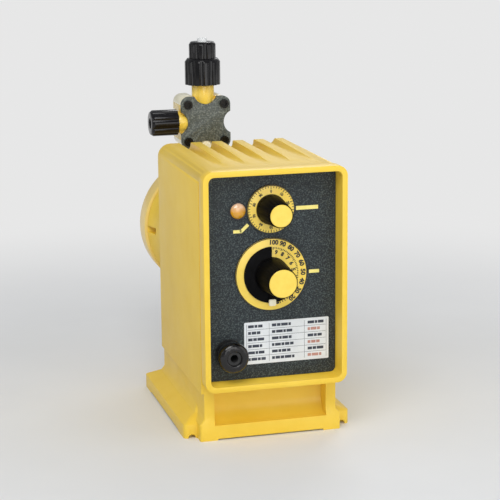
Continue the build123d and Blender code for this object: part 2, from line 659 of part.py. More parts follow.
def gland_nut():
    """The round gland nut, well rounded at its mouth."""
    at = (GLAND_X, GLAND_Z)
    front = PANEL_FRONT - GLAND_REACH
    rear = front + GLAND_NUT_LENGTH
    radius = GLAND_NUT / 2
    inner = GLAND_BARREL / 2 + RUNNING_FIT
    mouth = GLAND_MOUTH / 2
    steps = 6
    turns = [i / steps * pi / 2 for i in range(steps + 1)]
    shoulder = [(radius - GLAND_NUT_ROUND * (1 - cos(a)), front + GLAND_NUT_ROUND * (1 - sin(a))) for a in turns]
    outline = [
        (inner, rear), (radius - 1.0, rear), (radius - 1.0, rear - 5.0), (radius, rear - 6.0), *shoulder,
        (mouth + 1.0, front), (mouth, front + 1.2), (mouth, front + 2.2), (inner, front + 2.2),
    ]
    return turned("y", at, outline)


def gland_seal():
    """The rubber insert, split to take a cord."""
    at = (GLAND_X, GLAND_Z)
    barrel_front = PANEL_FRONT - GLAND_REACH + 5.0
    front = PANEL_FRONT - GLAND_REACH + 2.2 + RUNNING_FIT
    seal = round_bar("y", at, front, barrel_front, GLAND_BARREL - 0.8, CORD_HOLE)
    return seal + round_bar("y", at, barrel_front, barrel_front + 10, GLAND_BARREL - 5, CORD_HOLE)


def circuit_board():
    """The board behind the panel, with a round opening for the stroke spindle."""
    half = BOARD_WIDTH / 2
    board = block((-half, half), (BOARD_FRONT, BOARD_FRONT + BOARD_THICKNESS), (BOARD_BOTTOM, BOARD_TOP))
    return board - round_bar("y", STROKE_AXIS, BOARD_FRONT - 1, BOARD_FRONT + BOARD_THICKNESS + 1, BOARD_HOLE)


def board_components():
    """The tall pieces soldered on the board, each its own solid."""
    rear = BOARD_FRONT + BOARD_THICKNESS
    return [
        block((-44, -14), (rear, rear + 20), (80, 108)),
        round_bar("y", (4, 92), rear, rear + 22, 20),
        block((18, 44), (rear, rear + 12), (80, 104)),
        block((-40, -16), (rear, rear + 9), (186, 214)),
        block((-4, 22), (rear, rear + 14), (196, 212)),
        round_bar("y", (36, 200), rear, rear + 18, 12),
    ]


# ---------------------------------------------------------------- stroke setting
def stroke_spindle():
    """The spindle that the stroke knob turns, with a collar in front of the bracket."""
    spindle = round_bar("y", STROKE_AXIS, PANEL_FRONT - SPINDLE_TIP, PLUNGER_FRONT + 12, SPINDLE_DIAMETER)
    collar_rear = BRACKET_FRONT - FREE_GAP
    return spindle + round_bar("y", STROKE_AXIS, collar_rear - 5, collar_rear, SPINDLE_COLLAR)


def spindle_seal():
    """The lip seal that keeps water out where the spindle passes the panel."""
    bore = SPINDLE_DIAMETER + 2 * RUNNING_FIT
    return round_bar("y", STROKE_AXIS, PANEL_FRONT, PANEL_BACK, SPINDLE_DIAMETER + 4, bore)


def keyed_bar(start, end, diameter, flat):
    """A round bar with one flat on its +X side."""
    bar = round_bar("y", STROKE_AXIS, start, end, diameter)
    return bar - block((flat, diameter), (min(start, end) - 1, max(start, end) + 1),
                       (STROKE_Z - diameter, STROKE_Z + diameter))


def stroke_plunger():
    """The keyed stop that the spindle screws back and forth; the armature shaft rests on it."""
    plunger = keyed_bar(PLUNGER_FRONT, PLUNGER_REAR, PLUNGER_DIAMETER, PLUNGER_FLAT)
    bore = SPINDLE_DIAMETER + 2 * RUNNING_FIT
    return plunger - round_bar("y", STROKE_AXIS, PLUNGER_FRONT - 1, PLUNGER_FRONT + 14, bore)


def bracket_leg_places():
    """Centres of the three legs round the solenoid's rim."""
    return around("y", STROKE_AXIS, 3, CUP_DIAMETER - CUP_WALL, 90)


def stroke_bracket():
    """The steel spider that carries the stroke stop in front of the solenoid."""
    rear = BRACKET_FRONT + BRACKET_THICKNESS
    hub_rear = SHAFT_TAIL_END - 4.0
    bracket = round_bar("y", STROKE_AXIS, BRACKET_FRONT, hub_rear, BRACKET_HUB)
    for i, centre in enumerate(bracket_leg_places()):
        angle = 90 + 120 * i
        arm = Box(CUP_DIAMETER / 2, BRACKET_THICKNESS, BRACKET_LEG, align=(Align.MIN, Align.MIN, Align.CENTER))
        post_length = CUP_FRONT - BRACKET_FRONT
        post = Pos(CUP_DIAMETER / 2 - CUP_WALL, 0, 0) * Box(CUP_WALL, post_length, BRACKET_LEG,
                                                         align=(Align.MIN, Align.MIN, Align.CENTER))
        bracket += Pos(0, BRACKET_FRONT, STROKE_Z) * Rot(0, -angle, 0) * (arm + post)
    clearance = SPINDLE_DIAMETER + 2 * RUNNING_FIT
    bracket -= round_bar("y", STROKE_AXIS, BRACKET_FRONT - 1, rear + 1, clearance)
    bracket -= keyed_bar(rear, hub_rear + 1, PLUNGER_DIAMETER + 2 * RUNNING_FIT, PLUNGER_FLAT + RUNNING_FIT)
    return bracket


# ---------------------------------------------------------------- solenoid
def solenoid_cup():
    """The steel cup round the coil, bolted to the inside of the housing's rear wall."""
    plate_front = REAR_FACE_INSIDE - CUP_PLATE
    inner = CUP_DIAMETER - 2 * CUP_WALL
    cup = round_bar("y", STROKE_AXIS, CUP_FRONT, REAR_FACE_INSIDE, CUP_DIAMETER)
    cup -= round_bar("y", STROKE_AXIS, CUP_FRONT - 1, plate_front, inner)
    cup -= round_bar("y", STROKE_AXIS, plate_front - 1, REAR_FACE_INSIDE + 1, POLE_DIAMETER)
    for centre in around("y", STROKE_AXIS, ADAPTER_SCREW_COUNT, ADAPTER_SCREW_CIRCLE, 45):
        cup -= round_bar("y", centre, plate_front - 1, REAR_FACE_INSIDE + 1, HEAD_SCREW)
    return cup


def coil_bobbin():
    """The plastic spool that the coil is wound on."""
    front = CUP_FRONT + 5.0
    rear = REAR_FACE_INSIDE - CUP_PLATE
    inner = POLE_DIAMETER / 2 + FREE_GAP
    flange = CUP_DIAMETER / 2 - CUP_WALL - FREE_GAP
    barrel = inner + 2.0
    outline = [(inner, front), (flange, front), (flange, front + 3), (barrel, front + 3),
               (barrel, rear - 3), (flange, rear - 3), (flange, rear), (inner, rear)]
    return turned("y", STROKE_AXIS, outline)


def coil_winding():
    """The copper winding between the bobbin's flanges."""
    inner = POLE_DIAMETER + 2 * FREE_GAP + 4.0
    outer = CUP_DIAMETER - 2 * CUP_WALL - 6.0
    return round_bar("y", STROKE_AXIS, CUP_FRONT + 8.0, REAR_FACE_INSIDE - CUP_PLATE - 3.0, outer, inner)


def pole_core():
    """The fixed iron core, with a spring socket in front and a spigot through the rear wall."""
    rear = BODY_REAR + POLE_SPIGOT
    core = round_bar("y", STROKE_AXIS, POLE_FRONT, rear, POLE_DIAMETER, SHAFT_DIAMETER + 2 * BUSH_WALL)
    return core - round_bar("y", STROKE_AXIS, POLE_FRONT - 1, POLE_FRONT + SPRING_SOCKET,
                            SPRING_MEAN + SPRING_WIRE + 1.0)


def shaft_bushes():
    """Two plain bushes in the core that the drive shaft runs in."""
    front = POLE_FRONT + SPRING_SOCKET
    rear = BODY_REAR + POLE_SPIGOT
    outside = SHAFT_DIAMETER + 2 * BUSH_WALL
    bore = SHAFT_DIAMETER + 2 * RUNNING_FIT
    return [
        round_bar("y", STROKE_AXIS, front, front + BUSH_LENGTH, outside, bore),
        round_bar("y", STROKE_AXIS, rear - BUSH_LENGTH, rear, outside, bore),
    ]


def armature():
    """The moving iron: a disc in front of the cup and a plunger inside the coil."""
    disc_rear = ARMATURE_FRONT + ARMATURE_DISC_THICKNESS
    rear = POLE_FRONT - AIR_GAP
    iron = round_bar("y", STROKE_AXIS, ARMATURE_FRONT, disc_rear, ARMATURE_DISC)
    iron += round_bar("y", STROKE_AXIS, disc_rear, rear, POLE_DIAMETER - 1.0)
    iron -= round_bar("y", STROKE_AXIS, ARMATURE_FRONT - 1, rear + 1, SHAFT_DIAMETER)
    socket = SPRING_MEAN + SPRING_WIRE + 1.0
    return iron - round_bar("y", STROKE_AXIS, rear - SPRING_SOCKET, rear + 1, socket)


def return_spring():
    """The coil spring between armature and core that pulls the diaphragm back."""
    start = POLE_FRONT - AIR_GAP - SPRING_SOCKET + SPRING_WIRE / 2 + 0.05
    end = POLE_FRONT + SPRING_SOCKET - SPRING_WIRE / 2 - 0.05
    coil = coil_spring(SPRING_MEAN / 2, SPRING_WIRE, end - start, SPRING_TURNS)
    return Pos(0, start, STROKE_Z) * Rot(-90, 0, 0) * coil


def drive_shaft():
    """The rod from the stroke stop through the core to the diaphragm."""
    return round_bar("y", STROKE_AXIS, SHAFT_TAIL_END, diaphragm_boss_front() + 8.0, SHAFT_DIAMETER)


# ---------------------------------------------------------------- liquid end
def diaphragm_boss_front():
    """Front face of the diaphragm's hub."""
    return HEAD_FRONT - DIAPHRAGM_RIM - 10.0


def bell_flare(radius):
    """Where the bell's outside widens, on a hollow curve, up to the head."""
    start = HEAD_FRONT - BELL_FLARE_LENGTH
    steps = 6
    curve = [(i / steps, 1 - cos(i / steps * pi / 2)) for i in range(steps + 1)]
    points = [(radius + widen * BELL_FLARE, start + along * (BELL_FLARE_LENGTH - 2.0)) for along, widen in curve]
    return points + [(radius + BELL_FLARE, HEAD_FRONT)]


def adapter():
    """The bell between housing and head, with vent slots at three and nine o'clock."""
    radius = BELL_DIAMETER / 2
    inner = radius - BELL_WALL
    front_bore = POLE_DIAMETER / 2
    rear_flange = HEAD_FRONT - BELL_REAR_FLANGE
    rim_seat = DIAPHRAGM_DIAMETER / 2 + PANEL_CLEARANCE
    throat = BELL_BORE / 2
    outline = [
        (front_bore, BODY_REAR), (radius - 1.0, BODY_REAR), (radius, BODY_REAR + 1.0),
        *bell_flare(radius), (rim_seat, HEAD_FRONT), (rim_seat, HEAD_FRONT - DIAPHRAGM_RIM),
        (throat, HEAD_FRONT - DIAPHRAGM_RIM), (throat, rear_flange), (inner, rear_flange),
        (inner, BODY_REAR + BELL_FRONT_FLANGE), (front_bore, BODY_REAR + BELL_FRONT_FLANGE),
    ]
    bell = turned("y", STROKE_AXIS, outline)
    slot_rear = HEAD_FRONT - BELL_SLOT_OFFSET
    slot = block((-HEAD_DIAMETER, HEAD_DIAMETER), (slot_rear - BELL_SLOT_LENGTH, slot_rear),
                 (STROKE_Z - BELL_SLOT_HEIGHT / 2, STROKE_Z + BELL_SLOT_HEIGHT / 2))
    bell -= slot - round_bar("y", STROKE_AXIS, BODY_REAR, HEAD_FRONT, 2 * BELL_SLOT_FLOOR)
    for centre in around("y", STROKE_AXIS, ADAPTER_SCREW_COUNT, ADAPTER_SCREW_CIRCLE, 45):
        bell -= round_bar("y", centre, BODY_REAR - 1, BODY_REAR + BELL_FRONT_FLANGE + 1, HEAD_SCREW)
    for centre in around("y", STROKE_AXIS, HEAD_SCREW_COUNT, HEAD_SCREW_CIRCLE, 22.5):
        bell -= round_bar("y", centre, rear_flange - 1, HEAD_FRONT + 1, HEAD_SCREW)
    return bell


def adapter_screws():
    """The four screws that hold bell, housing wall and solenoid together."""
    head_face = BODY_REAR + BELL_FRONT_FLANGE
    tip = REAR_FACE_INSIDE - CUP_PLATE
    return [cap_screw(centre, head_face + HEAD_SCREW, head_face, tip, HEAD_SCREW, HEAD_SCREW_HEAD)
            for centre in around("y", STROKE_AXIS, ADAPTER_SCREW_COUNT, ADAPTER_SCREW_CIRCLE, 45)]


def backup_disc():
    """The dished metal disc that backs the diaphragm."""
    rear = diaphragm_boss_front()
    outline = [(SHAFT_DIAMETER / 2, rear - 3.0), (26.0, rear - 3.0), (27.0, rear - 2.0), (27.0, rear),
               (SHAFT_DIAMETER / 2, rear)]
    return turned("y", STROKE_AXIS, outline)


def diaphragm():
    """The flexing disc: clamped rim, thin web and a thick hub on the shaft."""
    hub_front = diaphragm_boss_front()
    rim_front = HEAD_FRONT - DIAPHRAGM_RIM
    rim = DIAPHRAGM_DIAMETER / 2
    hub = 15.0
    shaft = SHAFT_DIAMETER / 2 + RUNNING_FIT
    outline = [
        (0, hub_front + 8.2), (shaft, hub_front + 8.2), (shaft, hub_front + 0.02), (hub, hub_front + 0.02),
        (hub + 2.0, rim_front - 3.0), (BELL_BORE / 2 - 2.0, rim_front), (rim, rim_front), (rim, HEAD_FRONT),
        (BELL_BORE / 2 - 2.0, HEAD_FRONT), (hub, HEAD_FRONT - 0.5), (0, HEAD_FRONT - 0.5),
    ]
    return turned("y", STROKE_AXIS, outline)


def pump_head():
    """The round head: pump chamber, top and bottom ports, and a hub behind."""
    radius = HEAD_DIAMETER / 2
    edge = 1.5
    outline = [
        (0, HEAD_FRONT + CHAMBER_DEPTH), (14.0, HEAD_FRONT + CHAMBER_DEPTH), (CHAMBER_RADIUS, HEAD_FRONT),
        (radius - edge, HEAD_FRONT), (radius, HEAD_FRONT + edge), (radius, HEAD_REAR - edge),
        (radius - edge, HEAD_REAR), (HEAD_HUB / 2 + 3, HEAD_REAR), (HEAD_HUB / 2, HUB_REAR - 2),
        (HEAD_HUB / 2 - 2, HUB_REAR), (0, HUB_REAR),
    ]
    head = turned("y", STROKE_AXIS, outline)
    at = (0, PORT_Y)
    for side in (-1, 1):
        end = STROKE_Z + side * PORT_BOSS_REACH
        head += round_bar("z", at, STROKE_Z + side * 30, end, PORT_BOSS)
        head -= round_bar("z", at, end - side * PORT_SOCKET_DEPTH, end + side, PORT_SOCKET)
        duct_level = STROKE_Z + side * CHAMBER_DUCT_OFFSET
        head -= round_bar("z", at, duct_level - side * PORT_PASSAGE / 2, end - side, PORT_PASSAGE)
        head -= round_bar("y", (0, duct_level), HEAD_FRONT, PORT_Y, CHAMBER_DUCT)
    for centre in around("y", STROKE_AXIS, HEAD_SCREW_COUNT, HEAD_SCREW_CIRCLE, 22.5):
        head -= round_bar("y", centre, HEAD_FRONT - 1, HUB_REAR + 1, HEAD_SCREW)
    return head


def head_screws():
    """The ring of screws that clamps head and diaphragm to the bell."""
    tip = HEAD_FRONT - BELL_REAR_FLANGE
    return [cap_screw(centre, HEAD_REAR + HEAD_SCREW, HEAD_REAR, tip, HEAD_SCREW, HEAD_SCREW_HEAD)
            for centre in around("y", STROKE_AXIS, HEAD_SCREW_COUNT, HEAD_SCREW_CIRCLE, 22.5)]


def fitting_shell(side, reach, thread):
    """A check-valve fitting: a plug in the head's port and a threaded stub beyond it."""
    at = (0, PORT_Y)
    face = STROKE_Z + side * PORT_BOSS_REACH
    inside = face - side * (PORT_SOCKET_DEPTH - 0.05)
    shell = round_bar("z", at, inside, face, PORT_SOCKET)
    collar_foot = min(face, face + side * FITTING_COLLAR)
    collar = extrude(Plane(origin=(0, PORT_Y, collar_foot)) * RegularPolygon(15.0, 6), amount=FITTING_COLLAR)
    shell += collar
    shell += round_bar("z", at, face, face + side * reach, thread)
    chamber = BALL_DIAMETER + 2.5
    if side > 0:
        seat_level, top_level = inside + 5.0, inside + 5.0 + BALL_DIAMETER + BALL_LIFT + 3.0
    else:
        top_level = inside
        seat_level = inside - 5.0 - BALL_DIAMETER - BALL_LIFT + 1.0
    shell -= round_bar("z", at, seat_level, top_level, chamber)
    shell -= round_bar("z", at, inside - side, face + side * (reach + 1), TUBE_BORE)
    return shell


def suction_fitting():
    """The lower check-valve fitting that hangs under the head."""
    return fitting_shell(-1, SUCTION_STUB_LENGTH, SUCTION_STUB)


def discharge_fitting():
    """The upper check-valve fitting between head and valve."""
    return fitting_shell(1, VALVE_SOCKET_TOP - 0.5 - STROKE_Z - PORT_BOSS_REACH, FITTING_STUB)


def ball_levels(side):
    """Seat level of the check valve on one side of the head."""
    face = STROKE_Z + side * PORT_BOSS_REACH
    inside = face - side * (PORT_SOCKET_DEPTH - 0.05)
    if side > 0:
        return inside + 5.0
    return inside - 5.0 - BALL_DIAMETER - BALL_LIFT + 1.0


def check_seat(side):
    """The ring that the ball closes on, at the bottom of its chamber."""
    low = ball_levels(side)
    bore = TUBE_BORE
    chamber = BALL_DIAMETER + 2.5
    height = 2.5
    rest = (BALL_DIAMETER ** 2 / 4 - bore ** 2 / 4) ** 0.5
    ring = round_bar("z", (0, PORT_Y), low, low + height, chamber, bore)
    relief = Pos(0, PORT_Y, low + height - 0.6 + rest) * Sphere(BALL_DIAMETER / 2 + 0.02)
    return ring - relief


def check_ball(side):
    """The ball, resting on its seat."""
    bore = TUBE_BORE
    rest = (BALL_DIAMETER ** 2 / 4 - bore ** 2 / 4) ** 0.5
    level = ball_levels(side) + 2.5 - 0.6 + rest + 0.05
    return Pos(0, PORT_Y, level) * Sphere(BALL_DIAMETER / 2)


def ferrule(axis, at, start, nut_face, thread):
    """The tapered ring that grips the tube, between the stub and the nut's end wall."""
    inward = 1 if start < nut_face else -1
    end = nut_face - inward * (NUT_END_WALL + SEAT_GAP)
    outline = [(TUBE_OUTSIDE / 2 + RUNNING_FIT, start), (thread / 2 - 1.6, start), (thread / 2, (start + end) / 2),
               (thread / 2, end), (TUBE_OUTSIDE / 2 + RUNNING_FIT, end)]
    return turned(axis, at, outline)


def coupling_nut(axis, at, inner_end, outer_end, diameter, thread, flutes, tube_hole):
    """A ribbed coupling nut: open thread side towards the port, tube hole in the far face."""
    nut = ribbed_nut(axis, at, inner_end, outer_end, diameter, tube_hole, flutes, outer_end)
    inward = 1 if inner_end < outer_end else -1
    end_wall = outer_end - inward * NUT_END_WALL
    return nut - round_bar(axis, at, inner_end - inward, end_wall, thread + 2 * RUNNING_FIT)


# ---------------------------------------------------------------- four-function valve
def valve_outline(width, height, scallop_extra=0.0):
    """The four-lobed outline: a rounded square with a round bite in each side."""
    outline = RectangleRounded(width, height, VALVE_PLATE_RADIUS)
    reach = VALVE_SCALLOP_FACE + VALVE_SCALLOP_RADIUS
    for x, y in ((reach, 0), (-reach, 0), (0, reach), (0, -reach)):
        outline -= Pos(x, y) * Circle(VALVE_SCALLOP_RADIUS + scallop_extra)
    return Pos(0, VALVE_Z) * outline


def valve_screw_places():
    """Centres of the four valve screws."""
    half = VALVE_SCREW_SPACING / 2
    return [(x, VALVE_Z + z) for x in (-half, half) for z in (-half, half)]


def valve_body():
    """The lobed block with ports above, below and to the left."""
    outline = valve_outline(VALVE_PLATE_WIDTH - 1.0, VALVE_PLATE_HEIGHT - 1.0)
    body = slab(outline, VALVE_BODY_FRONT, VALVE_BODY_REAR)
    stub_top = LOWER_NUT_BOTTOM
    body += round_bar("z", (0, PORT_Y), VALVE_Z, stub_top, VALVE_PORT)
    body += round_bar("z", (0, PORT_Y), VALVE_Z - VALVE_PLATE_HEIGHT / 2, VALVE_Z, VALVE_PORT)
    body += round_bar("x", (PORT_Y, VALVE_Z), SIDE_NUT_START, 0, VALVE_PORT)
    body += round_bar("x", (PORT_Y, VALVE_Z), SIDE_NUT_START - SIDE_STUB_LENGTH, SIDE_NUT_START, SUCTION_STUB)
    body += round_bar("z", (0, PORT_Y), stub_top, stub_top + 12.0, 20.0)
    bottom = VALVE_Z - VALVE_PLATE_HEIGHT / 2
    plate_room = valve_outline(VALVE_PLATE_WIDTH + FREE_GAP, VALVE_PLATE_HEIGHT + FREE_GAP, -FREE_GAP / 2)
    body -= slab(plate_room, VALVE_PLATE_FRONT - VALVE_PORT, VALVE_BODY_FRONT)
    body -= round_bar("z", (0, PORT_Y), bottom - 1, VALVE_SOCKET_TOP, FITTING_STUB)
    body -= round_bar("z", (0, PORT_Y), bottom, stub_top + 13, TUBE_BORE)
    body -= round_bar("x", (PORT_Y, VALVE_Z), SIDE_NUT_START - SIDE_STUB_LENGTH - 1, 0, RELIEF_BORE - 3.6)
    body -= round_bar("x", (PORT_Y, VALVE_Z), SIDE_NUT_START - SIDE_STUB_LENGTH - 1, RELIEF_SEAT_X, RELIEF_BORE)
    body -= round_bar("y", (0, VALVE_Z), VALVE_BODY_FRONT - 1, PORT_Y - 1, VALVE_POCKET)
    for centre in valve_screw_places():
        body -= round_bar("y", centre, VALVE_BODY_FRONT - 1, VALVE_BODY_FRONT + VALVE_SCREW_HOLE, VALVE_SCREW)
    return body


def valve_plate():
    """The dark front plate with a raised rim."""
    outline = valve_outline(VALVE_PLATE_WIDTH, VALVE_PLATE_HEIGHT)
    plate = slab(outline, VALVE_PLATE_FRONT, VALVE_BODY_FRONT)
    for centre in valve_screw_places():
        plate -= round_bar("y", centre, VALVE_PLATE_FRONT - 1, VALVE_BODY_FRONT + 1, VALVE_SCREW)
    pocket_floor = VALVE_BODY_FRONT - PLATE_POCKET_DEPTH
    return plate - round_bar("y", (0, VALVE_Z), pocket_floor, VALVE_BODY_FRONT + 1, PLATE_POCKET)


def valve_screws():
    """The four socket screws at the corners of the plate."""
    top = VALVE_PLATE_FRONT - VALVE_SCREW_RISE
    tip = VALVE_BODY_FRONT + VALVE_SCREW_HOLE - 2.0
    return [cap_screw(centre, top, VALVE_PLATE_FRONT, tip, VALVE_SCREW, VALVE_SCREW_HEAD)
            for centre in valve_screw_places()]


def valve_diaphragm():
    """The small diaphragm behind the plate."""
    return round_bar("y", (0, VALVE_Z), VALVE_BODY_FRONT, VALVE_BODY_FRONT + VALVE_DIAPHRAGM_THICKNESS,
                     VALVE_POCKET - 2 * RUNNING_FIT)


def anti_siphon_poppet():
    """The button behind the valve diaphragm that closes the discharge until pressure opens it."""
    front = VALVE_BODY_FRONT + VALVE_DIAPHRAGM_THICKNESS + SEAT_GAP
    return round_bar("y", (0, VALVE_Z), front, PORT_Y - 1 - SEAT_GAP, POPPET_DIAMETER)


def anti_siphon_spring():
    """The short spring between plate and valve diaphragm."""
    wire = 0.7
    start = VALVE_BODY_FRONT - PLATE_POCKET_DEPTH + wire / 2 + 0.05
    coil = coil_spring(6.5, wire, PLATE_POCKET_DEPTH - wire - 0.1, 2)
    return Pos(0, start, VALVE_Z) * Rot(-90, 0, 0) * coil


def relief_ball():
    """The ball that blows off into the return port."""
    bore = RELIEF_BORE - 3.6
    rest = (RELIEF_BALL ** 2 / 4 - bore ** 2 / 4) ** 0.5
    return Pos(RELIEF_SEAT_X - rest - 0.05, PORT_Y, VALVE_Z) * Sphere(RELIEF_BALL / 2)


def relief_spring():
    """The spring that holds the relief ball on its seat, against the return tube's ferrule."""
    bore = RELIEF_BORE - 3.6
    rest = (RELIEF_BALL ** 2 / 4 - bore ** 2 / 4) ** 0.5
    start = RELIEF_SEAT_X - rest - 0.05 - RELIEF_BALL / 2 * 0.72
    end = SIDE_NUT_START - SIDE_STUB_LENGTH + RELIEF_WIRE
    coil = coil_spring(RELIEF_BORE / 2 - RELIEF_WIRE / 2 - 0.6, RELIEF_WIRE, start - end, 7)
    return Pos(end, PORT_Y, VALVE_Z) * Rot(0, 90, 0) * coil


def discharge_adapter():
    """The lower ribbed nut on the valve's top port, with a threaded stub above it."""
    at = (0, PORT_Y)
    nut = ribbed_nut("z", at, LOWER_NUT_BOTTOM, LOWER_NUT_TOP, LOWER_NUT_DIAMETER, TUBE_BORE, 12, LOWER_NUT_TOP)
    nut += round_bar("z", at, LOWER_NUT_TOP, LOWER_NUT_TOP + STUB_ABOVE_ADAPTER, SUCTION_STUB, TUBE_BORE)
    return nut - round_bar("z", at, LOWER_NUT_BOTTOM - 1, LOWER_NUT_BOTTOM + 12.0, 20.0)


def discharge_tube():
    """The cut end of white tubing in the top coupling."""
    return round_bar("z", (0, PORT_Y), LOWER_NUT_TOP + STUB_ABOVE_ADAPTER, TUBE_TOP, TUBE_OUTSIDE, TUBE_BORE)


def main():
    """Build every node and write one STEP file for each."""
    port = (0, PORT_Y)
    side = (PORT_Y, VALVE_Z)
    top_stub = LOWER_NUT_TOP + STUB_ABOVE_ADAPTER
    side_stub = SIDE_NUT_START - SIDE_STUB_LENGTH
    suction_stub = STROKE_Z - PORT_BOSS_REACH - SUCTION_STUB_LENGTH
    suction_start = STROKE_Z - PORT_BOSS_REACH - FITTING_COLLAR - FREE_GAP
    suction_end = suction_stub - SUCTION_NUT_OVERHANG
    tube_hole = TUBE_OUTSIDE + 2 * FREE_GAP
    suction_nut = coupling_nut("z", port, suction_start, suction_end, UPPER_NUT_DIAMETER, SUCTION_STUB,
                               NUT_FLUTES, tube_hole)
    discharge_nut = coupling_nut("z", port, LOWER_NUT_TOP + FREE_GAP, UPPER_NUT_TOP, UPPER_NUT_DIAMETER,
                                 SUCTION_STUB, NUT_FLUTES, tube_hole)
    return_nut = coupling_nut("x", side, SIDE_NUT_START - FREE_GAP, SIDE_NUT_END, SIDE_NUT_DIAMETER,
                              SUCTION_STUB, NUT_FLUTES, tube_hole)
    nodes = {
        "housing": housing(),
        "control_panel": control_panel(),
        "panel_gasket": panel_gasket(),
        "stroke_dial": dial_plate(STROKE_Z, STROKE_DIAL, SPINDLE_DIAMETER + 4),
        "stroke_knob": stroke_knob(),
        "stroke_knob_cap": knob_cap(STROKE_Z, STROKE_CAP, STROKE_REACH),
        "speed_dial": dial_plate(SPEED_Z, SPEED_DIAL, SPEED_SHAFT + 3),
        "speed_knob": speed_knob(),
        "speed_knob_cap": knob_cap(SPEED_Z, SPEED_CAP, SPEED_REACH),
        "speed_shaft": speed_shaft(),
        "speed_potentiometer": speed_potentiometer(),
        "pulse_bezel": pulse_bezel(),
        "pulse_lens": pulse_lens(),
        "cable_gland": cable_gland(),
        "gland_nut": gland_nut(),
        "gland_seal": gland_seal(),
        "circuit_board": circuit_board(),
        "board_components": board_components(),
        "stroke_spindle": stroke_spindle(),
        "spindle_seal": spindle_seal(),
        "stroke_plunger": stroke_plunger(),
        "stroke_bracket": stroke_bracket(),
        "solenoid_cup": solenoid_cup(),
        "coil_bobbin": coil_bobbin(),
        "coil_winding": coil_winding(),
        "pole_core": pole_core(),
        "shaft_bushes": shaft_bushes(),
        "armature": armature(),
        "return_spring": return_spring(),
        "drive_shaft": drive_shaft(),
        "adapter": adapter(),
        "adapter_screws": adapter_screws(),
        "backup_disc": backup_disc(),
        "diaphragm": diaphragm(),
        "pump_head": pump_head(),
        "head_screws": head_screws(),
        "suction_fitting": suction_fitting(),
        "suction_seat": check_seat(-1),
        "suction_ball": check_ball(-1),
        "suction_ferrule": ferrule("z", port, suction_stub, suction_end, SUCTION_STUB),
        "suction_coupling_nut": suction_nut,
        "discharge_fitting": discharge_fitting(),
        "discharge_seat": check_seat(1),
        "discharge_ball": check_ball(1),
        "valve_body": valve_body(),
        "valve_plate": valve_plate(),
        "valve_screws": valve_screws(),
        "valve_diaphragm": valve_diaphragm(),
        "anti_siphon_poppet": anti_siphon_poppet(),
        "anti_siphon_spring": anti_siphon_spring(),
        "relief_ball": relief_ball(),
        "relief_spring": relief_spring(),
        "discharge_adapter": discharge_adapter(),
        "discharge_tube": discharge_tube(),
        "discharge_ferrule": ferrule("z", port, top_stub, UPPER_NUT_TOP, SUCTION_STUB),
        "discharge_coupling_nut": discharge_nut,
        "return_ferrule": ferrule("x", side, side_stub, SIDE_NUT_END, SUCTION_STUB),
        "return_coupling_nut": return_nut,
    }
    os.makedirs("parts", exist_ok=True)
    for name, shape in nodes.items():
        if isinstance(shape, list):
            shape = Compound(children=shape)
        export_step(shape, f"parts/{name}.step")


main()
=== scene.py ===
"""Looks of the diaphragm metering pump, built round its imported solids. Metres, +Z up."""
import bpy
import json
from math import cos, pi, radians, sin
from mathutils import Matrix, Vector


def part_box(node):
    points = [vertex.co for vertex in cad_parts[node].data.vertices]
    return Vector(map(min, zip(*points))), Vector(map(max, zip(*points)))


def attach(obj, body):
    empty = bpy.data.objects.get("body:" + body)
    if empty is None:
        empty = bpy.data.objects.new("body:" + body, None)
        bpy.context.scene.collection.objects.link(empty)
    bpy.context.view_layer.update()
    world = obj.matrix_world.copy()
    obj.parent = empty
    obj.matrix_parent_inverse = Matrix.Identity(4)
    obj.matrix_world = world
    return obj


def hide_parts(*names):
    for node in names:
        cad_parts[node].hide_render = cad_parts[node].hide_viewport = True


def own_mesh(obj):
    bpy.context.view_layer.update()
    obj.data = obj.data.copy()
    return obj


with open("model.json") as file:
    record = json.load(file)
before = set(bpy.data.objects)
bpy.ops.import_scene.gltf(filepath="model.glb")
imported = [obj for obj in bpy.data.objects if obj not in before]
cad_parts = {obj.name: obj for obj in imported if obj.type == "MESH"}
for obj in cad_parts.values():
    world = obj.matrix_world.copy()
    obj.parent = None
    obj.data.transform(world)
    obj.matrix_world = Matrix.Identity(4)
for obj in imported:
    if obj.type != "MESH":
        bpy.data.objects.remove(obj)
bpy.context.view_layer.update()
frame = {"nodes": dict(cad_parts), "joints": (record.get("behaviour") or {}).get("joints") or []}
nodes = frame["nodes"]
MM = 0.001
TINY = 1e-6


# ---------------------------------------------------------------- places read from the frame
def joint_place(name):
    """A point on a joint's axis, as x, y and z."""
    return next(joint["pos_m"] for joint in frame["joints"] if joint["name"] == name)


def middle(node):
    """The middle of a solid's box."""
    low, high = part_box(node)
    return (low + high) / 2


def rim(node):
    """Radius of a dial in millimetres."""
    low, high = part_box(node)
    return (high.x - low.x) / MM / 2


STROKE_LINE = joint_place("stroke_knob_turn")[2]
SPEED_LINE = joint_place("speed_knob_turn")[2]
VALVE_Y, VALVE_Z = joint_place("return_nut_turn")[1:]
LENS = middle("pulse_lens")

# Fronts of the surfaces that carry prints
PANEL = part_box("control_panel")[0].y
STROKE_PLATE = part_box("stroke_dial")[0].y
SPEED_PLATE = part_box("speed_dial")[0].y

# Prints are drawn in millimetres, as (x, z) places on a surface that faces -Y
STROKE_HUB = (0.0, STROKE_LINE / MM)
SPEED_HUB = (0.0, SPEED_LINE / MM)
PRINT = 0.10


# ---------------------------------------------------------------- selecting and finishing
def clear_selection():
    """Leave edit mode with nothing selected."""
    if bpy.context.object and bpy.context.object.mode != "OBJECT":
        bpy.ops.object.mode_set(mode="OBJECT")
    bpy.ops.object.select_all(action="DESELECT")


def pick(piece):
    """Make one piece the only selected and the active one."""
    clear_selection()
    piece.select_set(True)
    bpy.context.view_layer.objects.active = piece


